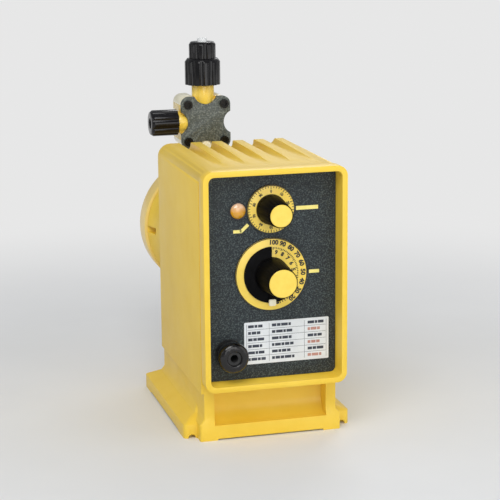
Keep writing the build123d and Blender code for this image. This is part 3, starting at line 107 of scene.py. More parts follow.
def edit(piece, kind):
    """Enter edit mode on one piece, with nothing in it selected, to select one kind of element."""
    pick(piece)
    bpy.ops.object.mode_set(mode="EDIT")
    bpy.ops.mesh.select_mode(type=kind)
    bpy.ops.mesh.select_all(action="DESELECT")
    bpy.ops.object.mode_set(mode="OBJECT")


def select_edges(piece, wanted):
    """Enter edit mode with only the edges selected whose two ends pass a test."""
    edit(piece, "EDGE")
    points = piece.data.vertices
    for edge in piece.data.edges:
        start, end = (points[i].co for i in edge.vertices)
        edge.select = wanted(start, end)
    bpy.ops.object.mode_set(mode="EDIT")


def select_points(piece, wanted):
    """Enter edit mode with only the points selected that pass a test."""
    edit(piece, "VERT")
    for point in piece.data.vertices:
        point.select = wanted(point.co)
    bpy.ops.object.mode_set(mode="EDIT")


def shift_points(piece, wanted, value):
    """Move the points that pass a test."""
    select_points(piece, wanted)
    bpy.ops.transform.translate(value=value)
    bpy.ops.object.mode_set(mode="OBJECT")


def paint_faces(piece, index, wanted):
    """Give the faces that pass a test on their middle and normal one of the piece's materials."""
    for face in piece.data.polygons:
        if wanted(face.center, face.normal):
            face.material_index = index


def settle(piece):
    """Put a piece's place into its mesh, so its object sits at the origin."""
    pick(piece)
    bpy.ops.object.transform_apply(location=True, rotation=True, scale=True)


def smooth(piece, angle=35):
    """Smooth shading with crisp edges above an angle."""
    pick(piece)
    bpy.ops.object.shade_smooth_by_angle(angle=radians(angle))


def round_edges(piece, width, segments=2, angle=30, edge_material=False):
    """Round the sharp edges of a piece with a bevel, with the second material on it when asked."""
    pick(piece)
    bevel = piece.modifiers.new("edges", "BEVEL")
    bevel.width = width
    bevel.segments = segments
    bevel.limit_method = "ANGLE"
    bevel.angle_limit = radians(angle)
    bevel.use_clamp_overlap = True
    bevel.harden_normals = False
    if edge_material:
        bevel.material = 1
    bpy.ops.object.modifier_apply(modifier="edges")


def face_outwards(piece):
    """Merge doubled points and turn every face outwards."""
    pick(piece)
    bpy.ops.object.mode_set(mode="EDIT")
    bpy.ops.mesh.select_all(action="SELECT")
    bpy.ops.mesh.remove_doubles(threshold=TINY)
    bpy.ops.mesh.normals_make_consistent(inside=False)
    bpy.ops.object.mode_set(mode="OBJECT")


def finish(piece, body, slot, *materials):
    """Give a piece its body and its materials; its record slot is not used."""
    piece.data.materials.clear()
    for material in materials:
        piece.data.materials.append(material)
    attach(piece, body)
    return piece


# ---------------------------------------------------------------- print shapes
def plate(name, centre, size, back, thick, corner=0.0, swing=0.0, about=None):
    """A thin plate facing -Y on a surface at back, swung clockwise about a point when asked."""
    clear_selection()
    bpy.ops.mesh.primitive_cube_add(size=1.0, scale=(size[0] * MM, thick * MM, size[1] * MM))
    piece = bpy.context.object
    piece.name = name
    settle(piece)
    if corner:
        select_edges(piece, lambda start, end: abs(start.y - end.y) > TINY)
        bpy.ops.mesh.bevel(offset=corner * MM, segments=4, affect="EDGES")
        bpy.ops.object.mode_set(mode="OBJECT")
    place = Matrix.Translation((centre[0] * MM, back - thick * MM / 2, centre[1] * MM))
    if about:
        hub = Matrix.Translation((about[0] * MM, 0, about[1] * MM))
        place = hub @ Matrix.Rotation(radians(swing), 4, "Y") @ hub.inverted() @ place
    piece.matrix_world = place
    settle(piece)
    return piece


def number(text, height, hub, reach, swing, back, weight, thick=0.12):
    """One raised number on a dial, its top outwards, at a clockwise angle from twelve o'clock."""
    clear_selection()
    bpy.ops.object.text_add()
    piece = bpy.context.object
    piece.data.body = text
    piece.data.size = height * MM
    piece.data.extrude = thick * MM / 2
    piece.data.offset = weight * MM
    piece.data.resolution_u = 3
    piece.data.align_x = "CENTER"
    piece.data.align_y = "CENTER"
    bpy.ops.object.convert(target="MESH")
    upright = Matrix.Rotation(radians(90), 4, "X")
    out = Matrix.Translation((0, 0, reach * MM))
    centre = Matrix.Translation((hub[0] * MM, back - thick * MM / 2, hub[1] * MM))
    piece.matrix_world = centre @ Matrix.Rotation(radians(swing), 4, "Y") @ out @ upright
    settle(piece)
    return piece


def number_row(values, height, weight, hub, reach, start, step, back):
    """Numbers round a dial, from a clockwise angle on."""
    return [number(str(value), height, hub, reach, start + step * i, back, weight)
            for i, value in enumerate(values)]


def tick_row(count, width, lengths, hub, reach, start, step, back):
    """Ticks round a dial, their outer ends on a circle and every fifth one longer."""
    ticks = []
    for i in range(count):
        length = lengths[1] if i % 5 else lengths[0]
        place = (hub[0], hub[1] + reach - length / 2)
        ticks.append(plate("tick", place, (width, length), back, PRINT, swing=start + i * step, about=hub))
    return ticks


def printed_ring(hub, radius, width, back, thick=PRINT):
    """A flat ring facing -Y on a surface at back."""
    clear_selection()
    bpy.ops.mesh.primitive_circle_add(vertices=96, radius=radius * MM, fill_type="NGON",
                                      rotation=(pi / 2, 0, 0), location=(hub[0] * MM, back, hub[1] * MM))
    piece = bpy.context.object
    settle(piece)
    bpy.ops.object.mode_set(mode="EDIT")
    bpy.ops.mesh.select_all(action="SELECT")
    bpy.ops.mesh.inset(thickness=width * MM)
    bpy.ops.mesh.delete(type="FACE")
    bpy.ops.mesh.select_all(action="SELECT")
    bpy.ops.mesh.extrude_region_move(TRANSFORM_OT_translate={"value": (0, -thick * MM, 0)})
    bpy.ops.object.mode_set(mode="OBJECT")
    face_outwards(piece)
    return piece


def gather(name, pieces):
    """Join pieces into one."""
    clear_selection()
    for piece in pieces:
        piece.select_set(True)
    bpy.context.view_layer.objects.active = pieces[0]
    bpy.ops.object.join()
    whole = bpy.context.object
    whole.name = name
    return whole


# ---------------------------------------------------------------- materials
INDEX = 1.5
COAT_ROUGHNESS = 0.08
GLOSS_SPREAD, GLOSS_FINENESS = 0.08, 2.7
GRAIN_DEPTH = 0.0004
CLOUD_LOW, CLOUD_HIGH = 0.3, 0.7
FLECK_EDGE = 0.08


def node_maker(material):
    """A short way to add and join shader nodes."""
    tree = material.node_tree

    def add(kind, **values):
        node = tree.nodes.new(kind)
        for key, value in values.items():
            if key in node.inputs:
                node.inputs[key].default_value = value
            else:
                setattr(node, key, value)
        return node

    def join(a, out, b, into):
        tree.links.new(a.outputs[out], b.inputs[into])

    return add, join


def surface(name, dark, light, rough, patch=60.0, grain=1800.0, relief=0.05, metal=0.0, coat=0.0,
            specular=0.5, transmission=0.0, rise=None, fleck=None, fleck_size=900.0, fleck_share=0.62):
    """A finish with fine grain, uneven gloss and a colour that is clouded, or changes between two heights."""
    material = bpy.data.materials.new(name)
    material.use_nodes = True
    add, join = node_maker(material)
    shader = material.node_tree.nodes["Principled BSDF"]
    shader.inputs["Metallic"].default_value = metal
    shader.inputs["Coat Weight"].default_value = coat
    shader.inputs["Coat Roughness"].default_value = COAT_ROUGHNESS
    shader.inputs["IOR"].default_value = INDEX
    shader.inputs["Specular IOR Level"].default_value = specular
    shader.inputs["Transmission Weight"].default_value = transmission
    place = add("ShaderNodeTexCoord")

    blend = add("ShaderNodeMix", data_type="RGBA")
    blend.inputs["A"].default_value = (*dark, 1)
    blend.inputs["B"].default_value = (*light, 1)
    if rise:
        height = add("ShaderNodeSeparateXYZ")
        join(place, "Object", height, "Vector")
        spread = add("ShaderNodeMapRange", **{"From Min": rise[0], "From Max": rise[1]})
        join(height, "Z", spread, "Value")
    else:
        cloud = add("ShaderNodeTexNoise", Scale=patch, Detail=4.0, Roughness=0.6)
        join(place, "Object", cloud, "Vector")
        spread = add("ShaderNodeMapRange", **{"From Min": CLOUD_LOW, "From Max": CLOUD_HIGH})
        join(cloud, "Fac", spread, "Value")
    join(spread, "Result", blend, "Factor")

    colour = blend
    if fleck:
        speck = add("ShaderNodeTexNoise", Scale=fleck_size, Detail=2.0, Roughness=0.7)
        join(place, "Object", speck, "Vector")
        cut = add("ShaderNodeMapRange", **{"From Min": fleck_share, "From Max": fleck_share + FLECK_EDGE})
        join(speck, "Fac", cut, "Value")
        colour = add("ShaderNodeMix", data_type="RGBA")
        colour.inputs["B"].default_value = (*fleck, 1)
        join(blend, "Result", colour, "A")
        join(cut, "Result", colour, "Factor")
    join(colour, "Result", shader, "Base Color")

    fine = add("ShaderNodeTexNoise", Scale=grain, Detail=3.0)
    join(place, "Object", fine, "Vector")
    bump = add("ShaderNodeBump", Strength=relief, Distance=GRAIN_DEPTH)
    join(fine, "Fac", bump, "Height")
    join(bump, "Normal", shader, "Normal")
    gloss = add("ShaderNodeTexNoise", Scale=patch * GLOSS_FINENESS, Detail=5.0)
    join(place, "Object", gloss, "Vector")
    band = add("ShaderNodeMapRange", **{"To Min": rough - GLOSS_SPREAD, "To Max": rough + GLOSS_SPREAD})
    join(gloss, "Fac", band, "Value")
    join(band, "Result", shader, "Roughness")
    return material


# Yellow and cream plastics
yellow = surface("yellow_moulding", (0.85, 0.57, 0.045), (0.895, 0.62, 0.068), 0.42, patch=28, grain=900,
                 coat=0.05, specular=0.4)
# Paler colour for the rounded edges of the yellow mouldings: partly wear, partly painted highlight along the
# edges
yellow_wear_and_highlight_edge = surface("yellow_worn_and_highlight_edge", (0.94, 0.77, 0.30), (0.96, 0.83, 0.40), 0.30, patch=90, grain=1500,
                      relief=0.03, coat=0.2)
head_yellow = surface("head_yellow", (0.84, 0.58, 0.13), (0.91, 0.67, 0.19), 0.34, patch=35, grain=900,
                      coat=0.15)
dial_yellow = surface("dial_yellow", (0.88, 0.62, 0.075), (0.93, 0.69, 0.11), 0.33, patch=120, grain=2500,
                      relief=0.03, coat=0.2)
port_yellow = surface("port_yellow", (0.90, 0.60, 0.06), (0.94, 0.69, 0.12), 0.28, patch=110, grain=1500,
                      relief=0.03, coat=0.3)
# On the valve block this pale cream is painted highlight over its yellow plastic
cream = surface("cream_body", (0.92, 0.85, 0.58), (0.95, 0.91, 0.72), 0.30, patch=70, grain=1400, relief=0.03,
                coat=0.2)

# Black plastics, and the paler painted highlights on their edges
black_gloss = surface("black_gloss", (0.003, 0.003, 0.003), (0.007, 0.006, 0.007), 0.14, patch=180,
                      grain=2200, specular=0.10, coat=0.8)
knob_black = surface("knob_black", (0.003, 0.003, 0.003), (0.006, 0.006, 0.007), 0.40, patch=160, grain=2200,
                     relief=0.08, specular=0.03)
knob_highlight_edge = surface("knob_highlight_edge", (0.08, 0.08, 0.08), (0.30, 0.30, 0.30), 0.25, patch=220, grain=2200,
                    relief=0.08)
nut_black = surface("nut_black", (0.003, 0.003, 0.004), (0.007, 0.006, 0.007), 0.20, patch=160, grain=2200,
                    relief=0.08, specular=0.16, coat=0.35)
nut_highlight_edge = surface("nut_highlight_edge", (0.09, 0.09, 0.095), (0.26, 0.26, 0.27), 0.22, patch=220, grain=2200,
                   relief=0.08)
black_satin = surface("black_satin", (0.010, 0.010, 0.011), (0.020, 0.020, 0.021), 0.36, patch=180,
                      relief=0.12, coat=0.2)

# Panel, valve plate, prints, label and lens
panel_dark = surface("panel_texture", (0.010, 0.014, 0.018), (0.018, 0.026, 0.031), 0.52, patch=220,
                     grain=1100, relief=0.4, specular=0.35, fleck=(0.065, 0.085, 0.085), fleck_size=800,
                     fleck_share=0.52)
plate_grey = surface("plate_grey", (0.050, 0.060, 0.052), (0.085, 0.098, 0.088), 0.42, patch=260, grain=900,
                     relief=0.3, fleck=(0.17, 0.19, 0.165), fleck_size=650, fleck_share=0.52)
# Lighter grey for the valve plate's rounded edges: painted highlight
plate_rim_highlight = surface("plate_rim_highlight", (0.26, 0.28, 0.25), (0.40, 0.42, 0.38), 0.35, patch=260, grain=1200,
                    relief=0.15)
black_print = surface("black_print", (0.012, 0.012, 0.012), (0.02, 0.02, 0.02), 0.5, patch=300, grain=3000)
print_yellow = surface("print_yellow", (0.92, 0.78, 0.20), (0.96, 0.84, 0.28), 0.45, patch=400, grain=3000)
label_white = surface("label_white", (0.68, 0.71, 0.74), (0.78, 0.81, 0.83), 0.34, patch=90, grain=2500,
                      relief=0.03, coat=0.1)
label_ink = surface("label_ink", (0.015, 0.02, 0.035), (0.05, 0.06, 0.085), 0.5, patch=500, grain=3000)
label_tint = surface("label_tint", (0.42, 0.20, 0.16), (0.55, 0.30, 0.25), 0.5, patch=500, grain=3000)
# The lens goes from amber low down to pale pink at its top: a painted highlight
amber_painted_highlight = surface("amber_lens", (0.80, 0.38, 0.015), (0.97, 0.70, 0.58), 0.10, patch=130, grain=1200,
                relief=0.02, coat=0.9, transmission=0.10, rise=(LENS.z - 0.001, LENS.z + 0.008))

# Metals
steel = surface("machined_steel", (0.50, 0.50, 0.48), (0.62, 0.62, 0.60), 0.28, patch=120, grain=1600,
                metal=1.0)
zinc = surface("zinc_plate", (0.46, 0.45, 0.38), (0.60, 0.58, 0.48), 0.34, patch=90, grain=1200, metal=1.0)
copper = surface("wound_copper", (0.42, 0.15, 0.06), (0.58, 0.24, 0.10), 0.35, patch=300, grain=900,
                 metal=1.0)
bronze = surface("bush_bronze", (0.50, 0.32, 0.14), (0.62, 0.42, 0.20), 0.40, patch=300, metal=1.0)
black_oxide = surface("black_oxide", (0.005, 0.005, 0.005), (0.011, 0.011, 0.011), 0.26, patch=300,
                      relief=0.1, specular=0.2)

# Tube, seals, seats, balls and electrical pieces
tube_white = surface("tube_white", (0.82, 0.84, 0.84), (0.90, 0.91, 0.91), 0.35, patch=200, grain=1500)
rubber = surface("black_rubber", (0.015, 0.015, 0.015), (0.030, 0.030, 0.030), 0.70, patch=150, grain=1500,
                 relief=0.2)
ptfe = surface("white_resin", (0.78, 0.78, 0.75), (0.86, 0.86, 0.83), 0.42, patch=90, grain=1200)
ceramic = surface("polished_ceramic", (0.84, 0.84, 0.81), (0.91, 0.91, 0.89), 0.12, patch=200, grain=1500,
                  relief=0.01, coat=0.5)
board_green = surface("solder_mask", (0.015, 0.13, 0.045), (0.03, 0.19, 0.07), 0.35, patch=200, grain=900,
                      relief=0.1)
part_grey = surface("moulded_grey", (0.05, 0.052, 0.055), (0.09, 0.092, 0.095), 0.5, patch=300, grain=1500)

carried = (
    (yellow, ("housing", "adapter")),
    (head_yellow, ("pump_head",)),
    (dial_yellow, ("stroke_dial", "speed_dial", "stroke_knob_cap", "speed_knob_cap")),
    (port_yellow, ("valve_body",)),
    (cream, ("suction_fitting", "discharge_fitting")),
    (panel_dark, ("control_panel",)),
    (plate_grey, ("valve_plate",)),
    (amber_painted_highlight, ("pulse_lens",)),
    (black_gloss, ("stroke_knob", "speed_knob", "gland_nut", "suction_coupling_nut", "discharge_adapter",
                   "discharge_coupling_nut", "return_coupling_nut")),
    (black_satin, ("pulse_bezel", "cable_gland", "coil_bobbin")),
    (black_oxide, ("valve_screws",)),
    (rubber, ("panel_gasket", "gland_seal", "spindle_seal", "valve_diaphragm")),
    (board_green, ("circuit_board",)),
    (part_grey, ("board_components", "speed_potentiometer")),
    (steel, ("speed_shaft", "stroke_spindle", "stroke_plunger", "return_spring", "drive_shaft",
             "adapter_screws", "backup_disc", "head_screws", "anti_siphon_spring", "relief_spring")),
    (zinc, ("stroke_bracket", "solenoid_cup", "pole_core", "armature")),
    (copper, ("coil_winding",)),
    (bronze, ("shaft_bushes",)),
    (ptfe, ("diaphragm", "suction_seat", "suction_ferrule", "discharge_seat", "anti_siphon_poppet",
            "discharge_ferrule", "return_ferrule")),
    (ceramic, ("suction_ball", "discharge_ball", "relief_ball")),
    (tube_white, ("discharge_tube",)),
)
for material, names in carried:
    for node in names:
        nodes[node].data.materials.clear()
        nodes[node].data.materials.append(material)


# ---------------------------------------------------------------- mouldings with rounded edges
WELD = 2 * TINY
FLAT = radians(0.8)


def moulding(node, name, width, edge_material=False, angle=30, segments=2):
    """A copy of a solid, merged, with its flats joined and its edges rounded."""
    piece = bpy.data.objects.new(name, nodes[node].data.copy())
    bpy.context.scene.collection.objects.link(piece)
    pick(piece)
    bpy.ops.object.mode_set(mode="EDIT")
    bpy.ops.mesh.select_all(action="SELECT")
    bpy.ops.mesh.remove_doubles(threshold=WELD)
    bpy.ops.mesh.dissolve_limited(angle_limit=FLAT)
    bpy.ops.object.mode_set(mode="OBJECT")
    piece.data.materials.append(None)
    round_edges(piece, width, segments, angle, edge_material)
    smooth(piece, 32)
    return piece


def stand_in(node, name, body, slot, width, materials, segments=2):
    """Put a merged copy with rounded edges in the place of a solid."""
    piece = moulding(node, name, width, edge_material=len(materials) > 1, segments=segments)
    finish(piece, body, slot, *materials)
    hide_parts(node)
    return piece


# Widths are those of the rounded edges; a dial's faces that look this little forwards are its sides, painted
# black as the shade round the raised dial
DIAL_SHADE_SIDE = 0.6
# The yellow mouldings' rounded edges take the paler colour: wear and painted highlight
stand_in("housing", "housing_moulding", "pump", "yellow_housing", 0.0009, (yellow, yellow_wear_and_highlight_edge))
stand_in("pump_head", "pump_head_moulding", "pump", "yellow_housing", 0.0008, (head_yellow, yellow_wear_and_highlight_edge))
stand_in("adapter", "bell_moulding", "pump", "yellow_housing", 0.0006, (yellow, yellow_wear_and_highlight_edge))
# The valve plate's paler rounded edges are painted highlight
stand_in("valve_plate", "valve_cover_plate", "pump", "plate_grey", 0.0007, (plate_grey, plate_rim_highlight))
for node, body in (("stroke_dial", "stroke_control"), ("speed_dial", "speed_control")):
    dial = stand_in(node, node + "_plate", body, "dial_yellow", 0.0002, (dial_yellow,), segments=1)
    dial.data.materials.append(black_satin)
    # The dial's sides get black: painted shade
    paint_faces(dial, 1, lambda centre, normal: abs(normal.y) < DIAL_SHADE_SIDE)
stand_in("stroke_knob", "stroke_grip", "stroke_control", "black_plastic", 0.0003, (knob_black,))
# The speed grip's paler rim and the gland's and nuts' paler rib edges are painted highlights
stand_in("speed_knob", "speed_grip", "speed_control", "black_plastic", 0.0005, (knob_black, knob_highlight_edge))
stand_in("gland_nut", "gland_nut_moulding", "cord_nut", "black_plastic", 0.0006, (black_gloss, nut_highlight_edge))
for node, body in (("suction_coupling_nut", "suction_nut"), ("discharge_coupling_nut", "discharge_nut"),
                   ("return_coupling_nut", "return_nut"), ("discharge_adapter", "pump")):
    stand_in(node, node + "_ribs", body, "black_plastic", 0.0004, (nut_black, nut_highlight_edge), segments=1)

# Valve block: one yellow plastic, painted pale cream all over as painted highlight where strong light washes
# it out, and a brighter yellow at its three ports
PORT_RADIUS = 0.012
PORT_DEPTH = 0.004
plate_low, plate_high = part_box("valve_plate")
plate_middle = middle("valve_plate")


def at_port(centre, normal):
    """Whether a face of the valve block belongs to its top, left or lower port."""
    top = centre.z > plate_high.z - PORT_DEPTH and abs(centre.x - plate_middle.x) < PORT_RADIUS
    left = centre.x < plate_low.x + PORT_DEPTH and abs(centre.z - plate_middle.z) < PORT_RADIUS
    return top or left or centre.z < plate_low.z - 0.0002


valve = stand_in("valve_body", "valve_block", "pump", "cream_plastic", 0.0006, (cream,))
valve.data.materials.append(port_yellow)
paint_faces(valve, 1, at_port)

# ---------------------------------------------------------------- soft pieces, each a copy shortened by a little play
ALONG_X, ALONG_Y = (1, 0, 0), (0, 1, 0)
SOFT_EDGE = 0.00004
HUB_RADIUS, HUB_DEPTH, HUB_PLAY = 0.0272, 0.0002, 0.0007
BORE_RADIUS, BORE_START, BORE_END, BORE_PLAY = 0.0056, 0.0008, 0.0095, 0.0015


def off_stroke(point):
    """Distance of a point from the line of the stroke."""
    return (point.x ** 2 + (point.z - STROKE_LINE) ** 2) ** 0.5


def hollow_hub(disc):
    """Set the diaphragm's hub and bore back a little from the disc and the shaft that press on them."""
    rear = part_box("diaphragm")[0].y
    shift_points(disc, lambda p: off_stroke(p) < HUB_RADIUS and p.y < rear + HUB_DEPTH, (0, HUB_PLAY, 0))
    shift_points(disc, lambda p: off_stroke(p) < BORE_RADIUS and rear + BORE_START < p.y < rear + BORE_END,
                 (0, BORE_PLAY, 0))


def pressed(node, name, slot, material, axis, anchor, play=0.0, fit=None):
    """A copy of a soft solid, shortened by a little play towards an anchor."""
    piece = moulding(node, name, SOFT_EDGE, segments=1, angle=60)
    select_points(piece, lambda point: True)
    bpy.ops.transform.resize(value=[1 - play * part for part in axis], center_override=anchor)
    bpy.ops.object.mode_set(mode="OBJECT")
    if fit:
        fit(piece)
    finish(piece, "pump", slot, material)
    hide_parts(node)
    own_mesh(piece)


pressed("diaphragm", "flexing_diaphragm", "white_plastic", ptfe, ALONG_Y,
        (0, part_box("diaphragm")[1].y, STROKE_LINE), fit=hollow_hub)
pressed("return_spring", "pressed_return_spring", "bright_steel", steel, ALONG_Y,
        (0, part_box("return_spring")[1].y, STROKE_LINE), play=0.035)
pressed("relief_spring", "pressed_relief_spring", "bright_steel", steel, ALONG_X,
        (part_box("relief_spring")[0].x, VALVE_Y, VALVE_Z))
pressed("valve_diaphragm", "pressed_valve_diaphragm", "valve_rubber", rubber, ALONG_Y,
        (0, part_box("valve_diaphragm")[0].y, VALVE_Z))


# ---------------------------------------------------------------- prints on panel and dials
# The black line just inside each dial's rim is painted shade at the dial's raised edge
RIM_GAP, RIM_SHADE_LINE = 0.2, 0.6


def index_lines():
    """Two straight lines that the dials are read against, and a kinked one below the lamp."""
    on_panel = dict(back=PANEL, thick=PRINT)
    slope = (-23.4, 188.5)
    lines = [
        plate("speed_index", (32.7, SPEED_HUB[1] - 0.5), (19.8, 3.4), corner=0.3, **on_panel),
        plate("stroke_index", (39.0, STROKE_HUB[1]), (9.2, 3.0), corner=0.3, **on_panel),
        plate("lens_lead", (-29.6, 186.0), (7.2, 2.8), corner=0.2, **on_panel),
        plate("lens_lead_slope", slope, (9.2, 2.8), corner=0.2, swing=-42, about=slope, **on_panel),
    ]
    finish(gather("index_lines", lines), "pump", "dial_yellow", print_yellow)


def rating_label():
    """A pale label with ruled rows of plain dashes, some of them tinted."""
    centre, width, height, thick = (13.9, 86.2), 76.7, 37.7, 0.25
    columns = ((3.5, 19.5), (25.0, 46.0), (57.5, 73.0))
    uprights, upright_length = (2.2, 22.5, 54.5, 74.5), 34.0
    rule_middle, rule_length, rule_width, rule_lift = 38.4, 71.0, 0.25, 2.9
    rows, first_row, row_pitch = 6, 3.8, 5.9
    dashes, dash_height, dash_gap = (5.2, 2.6, 4.0, 3.2, 6.0, 2.2), 2.5, 0.6
    ink = 0.05

    label = plate("rating_label", centre, (width, height), PANEL, thick, corner=1.0)
    finish(label, "pump", "white_plastic", label_white)
    face = PANEL - thick * MM
    left, top = centre[0] - width / 2, centre[1] + height / 2
    rules, tints = [], []
    for row in range(rows):
        z = top - first_row - row * row_pitch
        if row:
            place = (left + rule_middle, z + rule_lift)
            rules.append(plate("rule", place, (rule_length, rule_width), face, ink))
        for column, (start, end) in enumerate(columns):
            bars = tints if column == 2 and row % 2 else rules
            x, turn = start, row + 2 * column
            while x + dashes[turn % len(dashes)] < end:
                length = dashes[turn % len(dashes)]
                bars.append(plate("dash", (left + x + length / 2, z), (length, dash_height), face, ink))
                x, turn = x + length + dash_gap, turn + 1
    for x in uprights:
        rules.append(plate("rule", (left + x, centre[1]), (rule_width, upright_length), face, ink))
    finish(gather("label_rules", rules), "pump", "black_plastic", label_ink)
    finish(gather("label_fields", tints), "pump", "component_grey", label_tint)


def speed_scale():
    """A black line round the small dial's rim as painted shade at its edge, and ticks and numbers all round
    it.
    """
    marks = [printed_ring(SPEED_HUB, rim("speed_dial") - RIM_GAP, RIM_SHADE_LINE, SPEED_PLATE)]
    marks += tick_row(50, 0.55, (2.8, 1.6), SPEED_HUB, 20.2, 0.0, 360 / 50, SPEED_PLATE)
    marks += number_row(range(0, 100, 10), 3.1, 0.14, SPEED_HUB, 15.6, 0.0, 360 / 10, SPEED_PLATE)
    finish(gather("speed_scale", marks), "speed_control", "black_plastic", black_print)


def stroke_scale():
    """Large numbers near the large dial's rim, finer ones inside, ticks between, and marks at their end."""
    start, step = 4.0, 17.0
    end_start, end_step, end_reach = 168.0, -5.0, 26.2
    end_marks = ((2.6, 1.6), (0.7, 1.8), (0.7, 1.4), (0.7, 1.8), (0.7, 1.4))
    # A black line round the rim: painted shade at the dial's edge
    marks = [printed_ring(STROKE_HUB, rim("stroke_dial") - RIM_GAP, RIM_SHADE_LINE, STROKE_PLATE)]
    marks += number_row(range(100, 10, -10), 5.6, 0.26, STROKE_HUB, 28.2, start, step, STROKE_PLATE)
    marks += number_row(range(9, 1, -1), 4.8, 0.24, STROKE_HUB, 19.8, start + step / 2, step, STROKE_PLATE)
    marks += tick_row(44, 0.7, (2.2, 1.3), STROKE_HUB, 24.2, start, 3.7, STROKE_PLATE)
    for i, size in enumerate(end_marks):
        marks.append(plate("tick", (STROKE_HUB[0], STROKE_HUB[1] + end_reach), size, STROKE_PLATE, PRINT,
                           swing=end_start + i * end_step, about=STROKE_HUB))
    finish(gather("stroke_scale", marks), "stroke_control", "black_plastic", black_print)


def stroke_pointer():
    """A pale pointer at the foot of the stroke knob's skirt, a little proud of it."""
    centre, size, rise = (STROKE_HUB[0], STROKE_HUB[1] - 24.3), (6.4, 6.0), 3.4
    pointer = plate("stroke_pointer", centre, size, STROKE_PLATE, rise, corner=1.4)
    round_edges(pointer, 0.0005)
    finish(pointer, "stroke_control", "cream_plastic", cream)


def pulse_lamp():
    """A flattened dome of a lens in a raised collar."""
    radius, dome_share = 0.0069, 0.62
    collar_radius, collar_width, collar_rise = 7.9, 1.2, 1.3
    clear_selection()
    bpy.ops.mesh.primitive_uv_sphere_add(segments=48, ring_count=24, radius=radius, scale=(1, 1, dome_share),
                                         location=(LENS.x, PANEL, LENS.z), rotation=(pi / 2, 0, 0))
    dome = bpy.context.object
    dome.name = "pulse_dome"
    settle(dome)
    bpy.ops.object.mode_set(mode="EDIT")
    bpy.ops.mesh.select_all(action="SELECT")
    bpy.ops.mesh.bisect(plane_co=(0, PANEL, 0), plane_no=(0, -1, 0), use_fill=True, clear_inner=True)
    bpy.ops.object.mode_set(mode="OBJECT")
    smooth(dome, 50)
    # The dome's pale pink top is painted highlight
    finish(dome, "pump", "amber_lens", amber_painted_highlight)
    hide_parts("pulse_lens")
    collar = printed_ring((LENS.x / MM, LENS.z / MM), collar_radius, collar_width, PANEL, collar_rise)
    collar.name = "pulse_collar"
    round_edges(collar, 0.0004)
    smooth(collar)
    finish(collar, "pump", "black_plastic", black_satin)
    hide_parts("pulse_bezel")


index_lines()
rating_label()
speed_scale()
stroke_scale()
stroke_pointer()
pulse_lamp()

# ---------------------------------------------------------------- camera, floor and lights
FLOOR_SIZE = 60.0
PALE = 0.80
SHADOW_REACH, GLOW_START = 0.28, 0.9


def place_camera(place, yaw, pitch, roll, focal):
    """The camera, turned right, up and over by three angles in radians."""
    lens = bpy.data.cameras.new("camera")
    lens.lens = focal
    lens.sensor_width = 36.0
    camera = bpy.data.objects.new("camera", lens)
    bpy.context.scene.collection.objects.link(camera)
    ahead = Vector((sin(yaw) * cos(pitch), cos(yaw) * cos(pitch), sin(pitch)))
    right = Vector((cos(yaw), -sin(yaw), 0.0))
    up = right.cross(ahead)
    tilted_right = right * cos(roll) + up * sin(roll)
    tilted_up = up * cos(roll) - right * sin(roll)
    turn = Matrix((tilted_right, tilted_up, -ahead)).transposed().to_4x4()
    camera.matrix_world = Matrix.Translation(place) @ turn
    bpy.context.scene.camera = camera


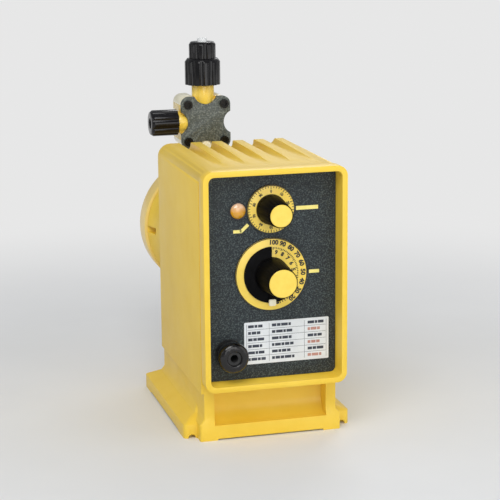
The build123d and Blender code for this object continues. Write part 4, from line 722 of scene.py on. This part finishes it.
def studio_floor():
    """A pale floor that takes the shadow near the pump and glows evenly further out."""
    clear_selection()
    bpy.ops.mesh.primitive_plane_add(size=FLOOR_SIZE, location=(0, 0, 0))
    floor = bpy.context.object
    floor.name = "studio_floor"
    bpy.ops.object.transform_apply(location=True, rotation=True, scale=True)
    paint = surface("studio_floor", (0.74, 0.745, 0.75), (0.78, 0.785, 0.79), 0.7, patch=3, grain=60,
                    relief=0.02, specular=0.1)
    add, join = node_maker(paint)
    rays = add("ShaderNodeLightPath")
    seen, seen_out = rays, "Is Camera Ray"
    for ray in ("Is Glossy Ray", "Is Transmission Ray"):
        either = add("ShaderNodeMath", operation="MAXIMUM")
        join(seen, seen_out, either, 0)
        join(rays, ray, either, 1)
        seen, seen_out = either, "Value"
    distance = add("ShaderNodeVectorMath", operation="LENGTH")
    join(add("ShaderNodeTexCoord"), "Object", distance, "Vector")
    fade = add("ShaderNodeMapRange", interpolation_type="SMOOTHSTEP",
               **{"From Min": SHADOW_REACH, "From Max": GLOW_START})
    join(distance, "Value", fade, "Value")
    share = add("ShaderNodeMath", operation="MULTIPLY")
    join(seen, seen_out, share, 0)
    join(fade, "Result", share, 1)
    glow = add("ShaderNodeEmission", Color=(PALE, PALE, PALE, 1), Strength=1.0)
    blend = add("ShaderNodeMixShader")
    join(share, "Value", blend, "Fac")
    join(paint.node_tree.nodes["Principled BSDF"], "BSDF", blend, 1)
    join(glow, "Emission", blend, 2)
    join(blend, "Shader", paint.node_tree.nodes["Material Output"], "Surface")
    floor.data.materials.append(paint)


def softbox(name, place, aim, size, power):
    """A square area lamp aimed at a point."""
    lamp = bpy.data.lights.new(name, "AREA")
    lamp.shape = "SQUARE"
    lamp.size = size
    lamp.energy = power
    lit = bpy.data.objects.new(name, lamp)
    bpy.context.scene.collection.objects.link(lit)
    lit.location = place
    lit.rotation_euler = (Vector(aim) - Vector(place)).to_track_quat("-Z", "Y").to_euler()


def studio_air():
    """Soft light from all round, and a pale backing where the camera sees past the floor."""
    world = bpy.data.worlds.new("studio")
    world.use_nodes = True
    add, join = node_maker(world)
    soft = world.node_tree.nodes["Background"]
    soft.inputs["Color"].default_value = (0.82, 0.84, 0.86, 1)
    soft.inputs["Strength"].default_value = 0.42
    backing = add("ShaderNodeBackground", Color=(PALE, PALE, PALE, 1))
    swap = add("ShaderNodeMixShader")
    join(add("ShaderNodeLightPath"), "Is Camera Ray", swap, "Fac")
    join(soft, "Background", swap, 1)
    join(backing, "Background", swap, 2)
    join(swap, "Shader", world.node_tree.nodes["World Output"], "Surface")
    bpy.context.scene.world = world


place_camera((-0.37273, -1.39214, 0.46909), yaw=0.26687, pitch=-0.21959, roll=-0.00875, focal=115.65)
studio_floor()
softbox("key", (-0.45, -1.0, 1.35), (0, 0, 0.15), 0.9, 13.0)
softbox("front", (0.05, -1.6, 0.45), (0, 0, 0.12), 1.0, 6.5)
softbox("side", (-1.5, 0.1, 0.7), (0, 0, 0.15), 0.8, 2.0)
softbox("fill", (1.2, -0.9, 0.6), (0, 0, 0.12), 1.2, 4.5)
softbox("rim", (0.6, 1.2, 1.1), (0, 0.05, 0.2), 0.8, 6.0)
studio_air()
bpy.context.scene.view_settings.view_transform = "Standard"

bpy.context.view_layer.update()
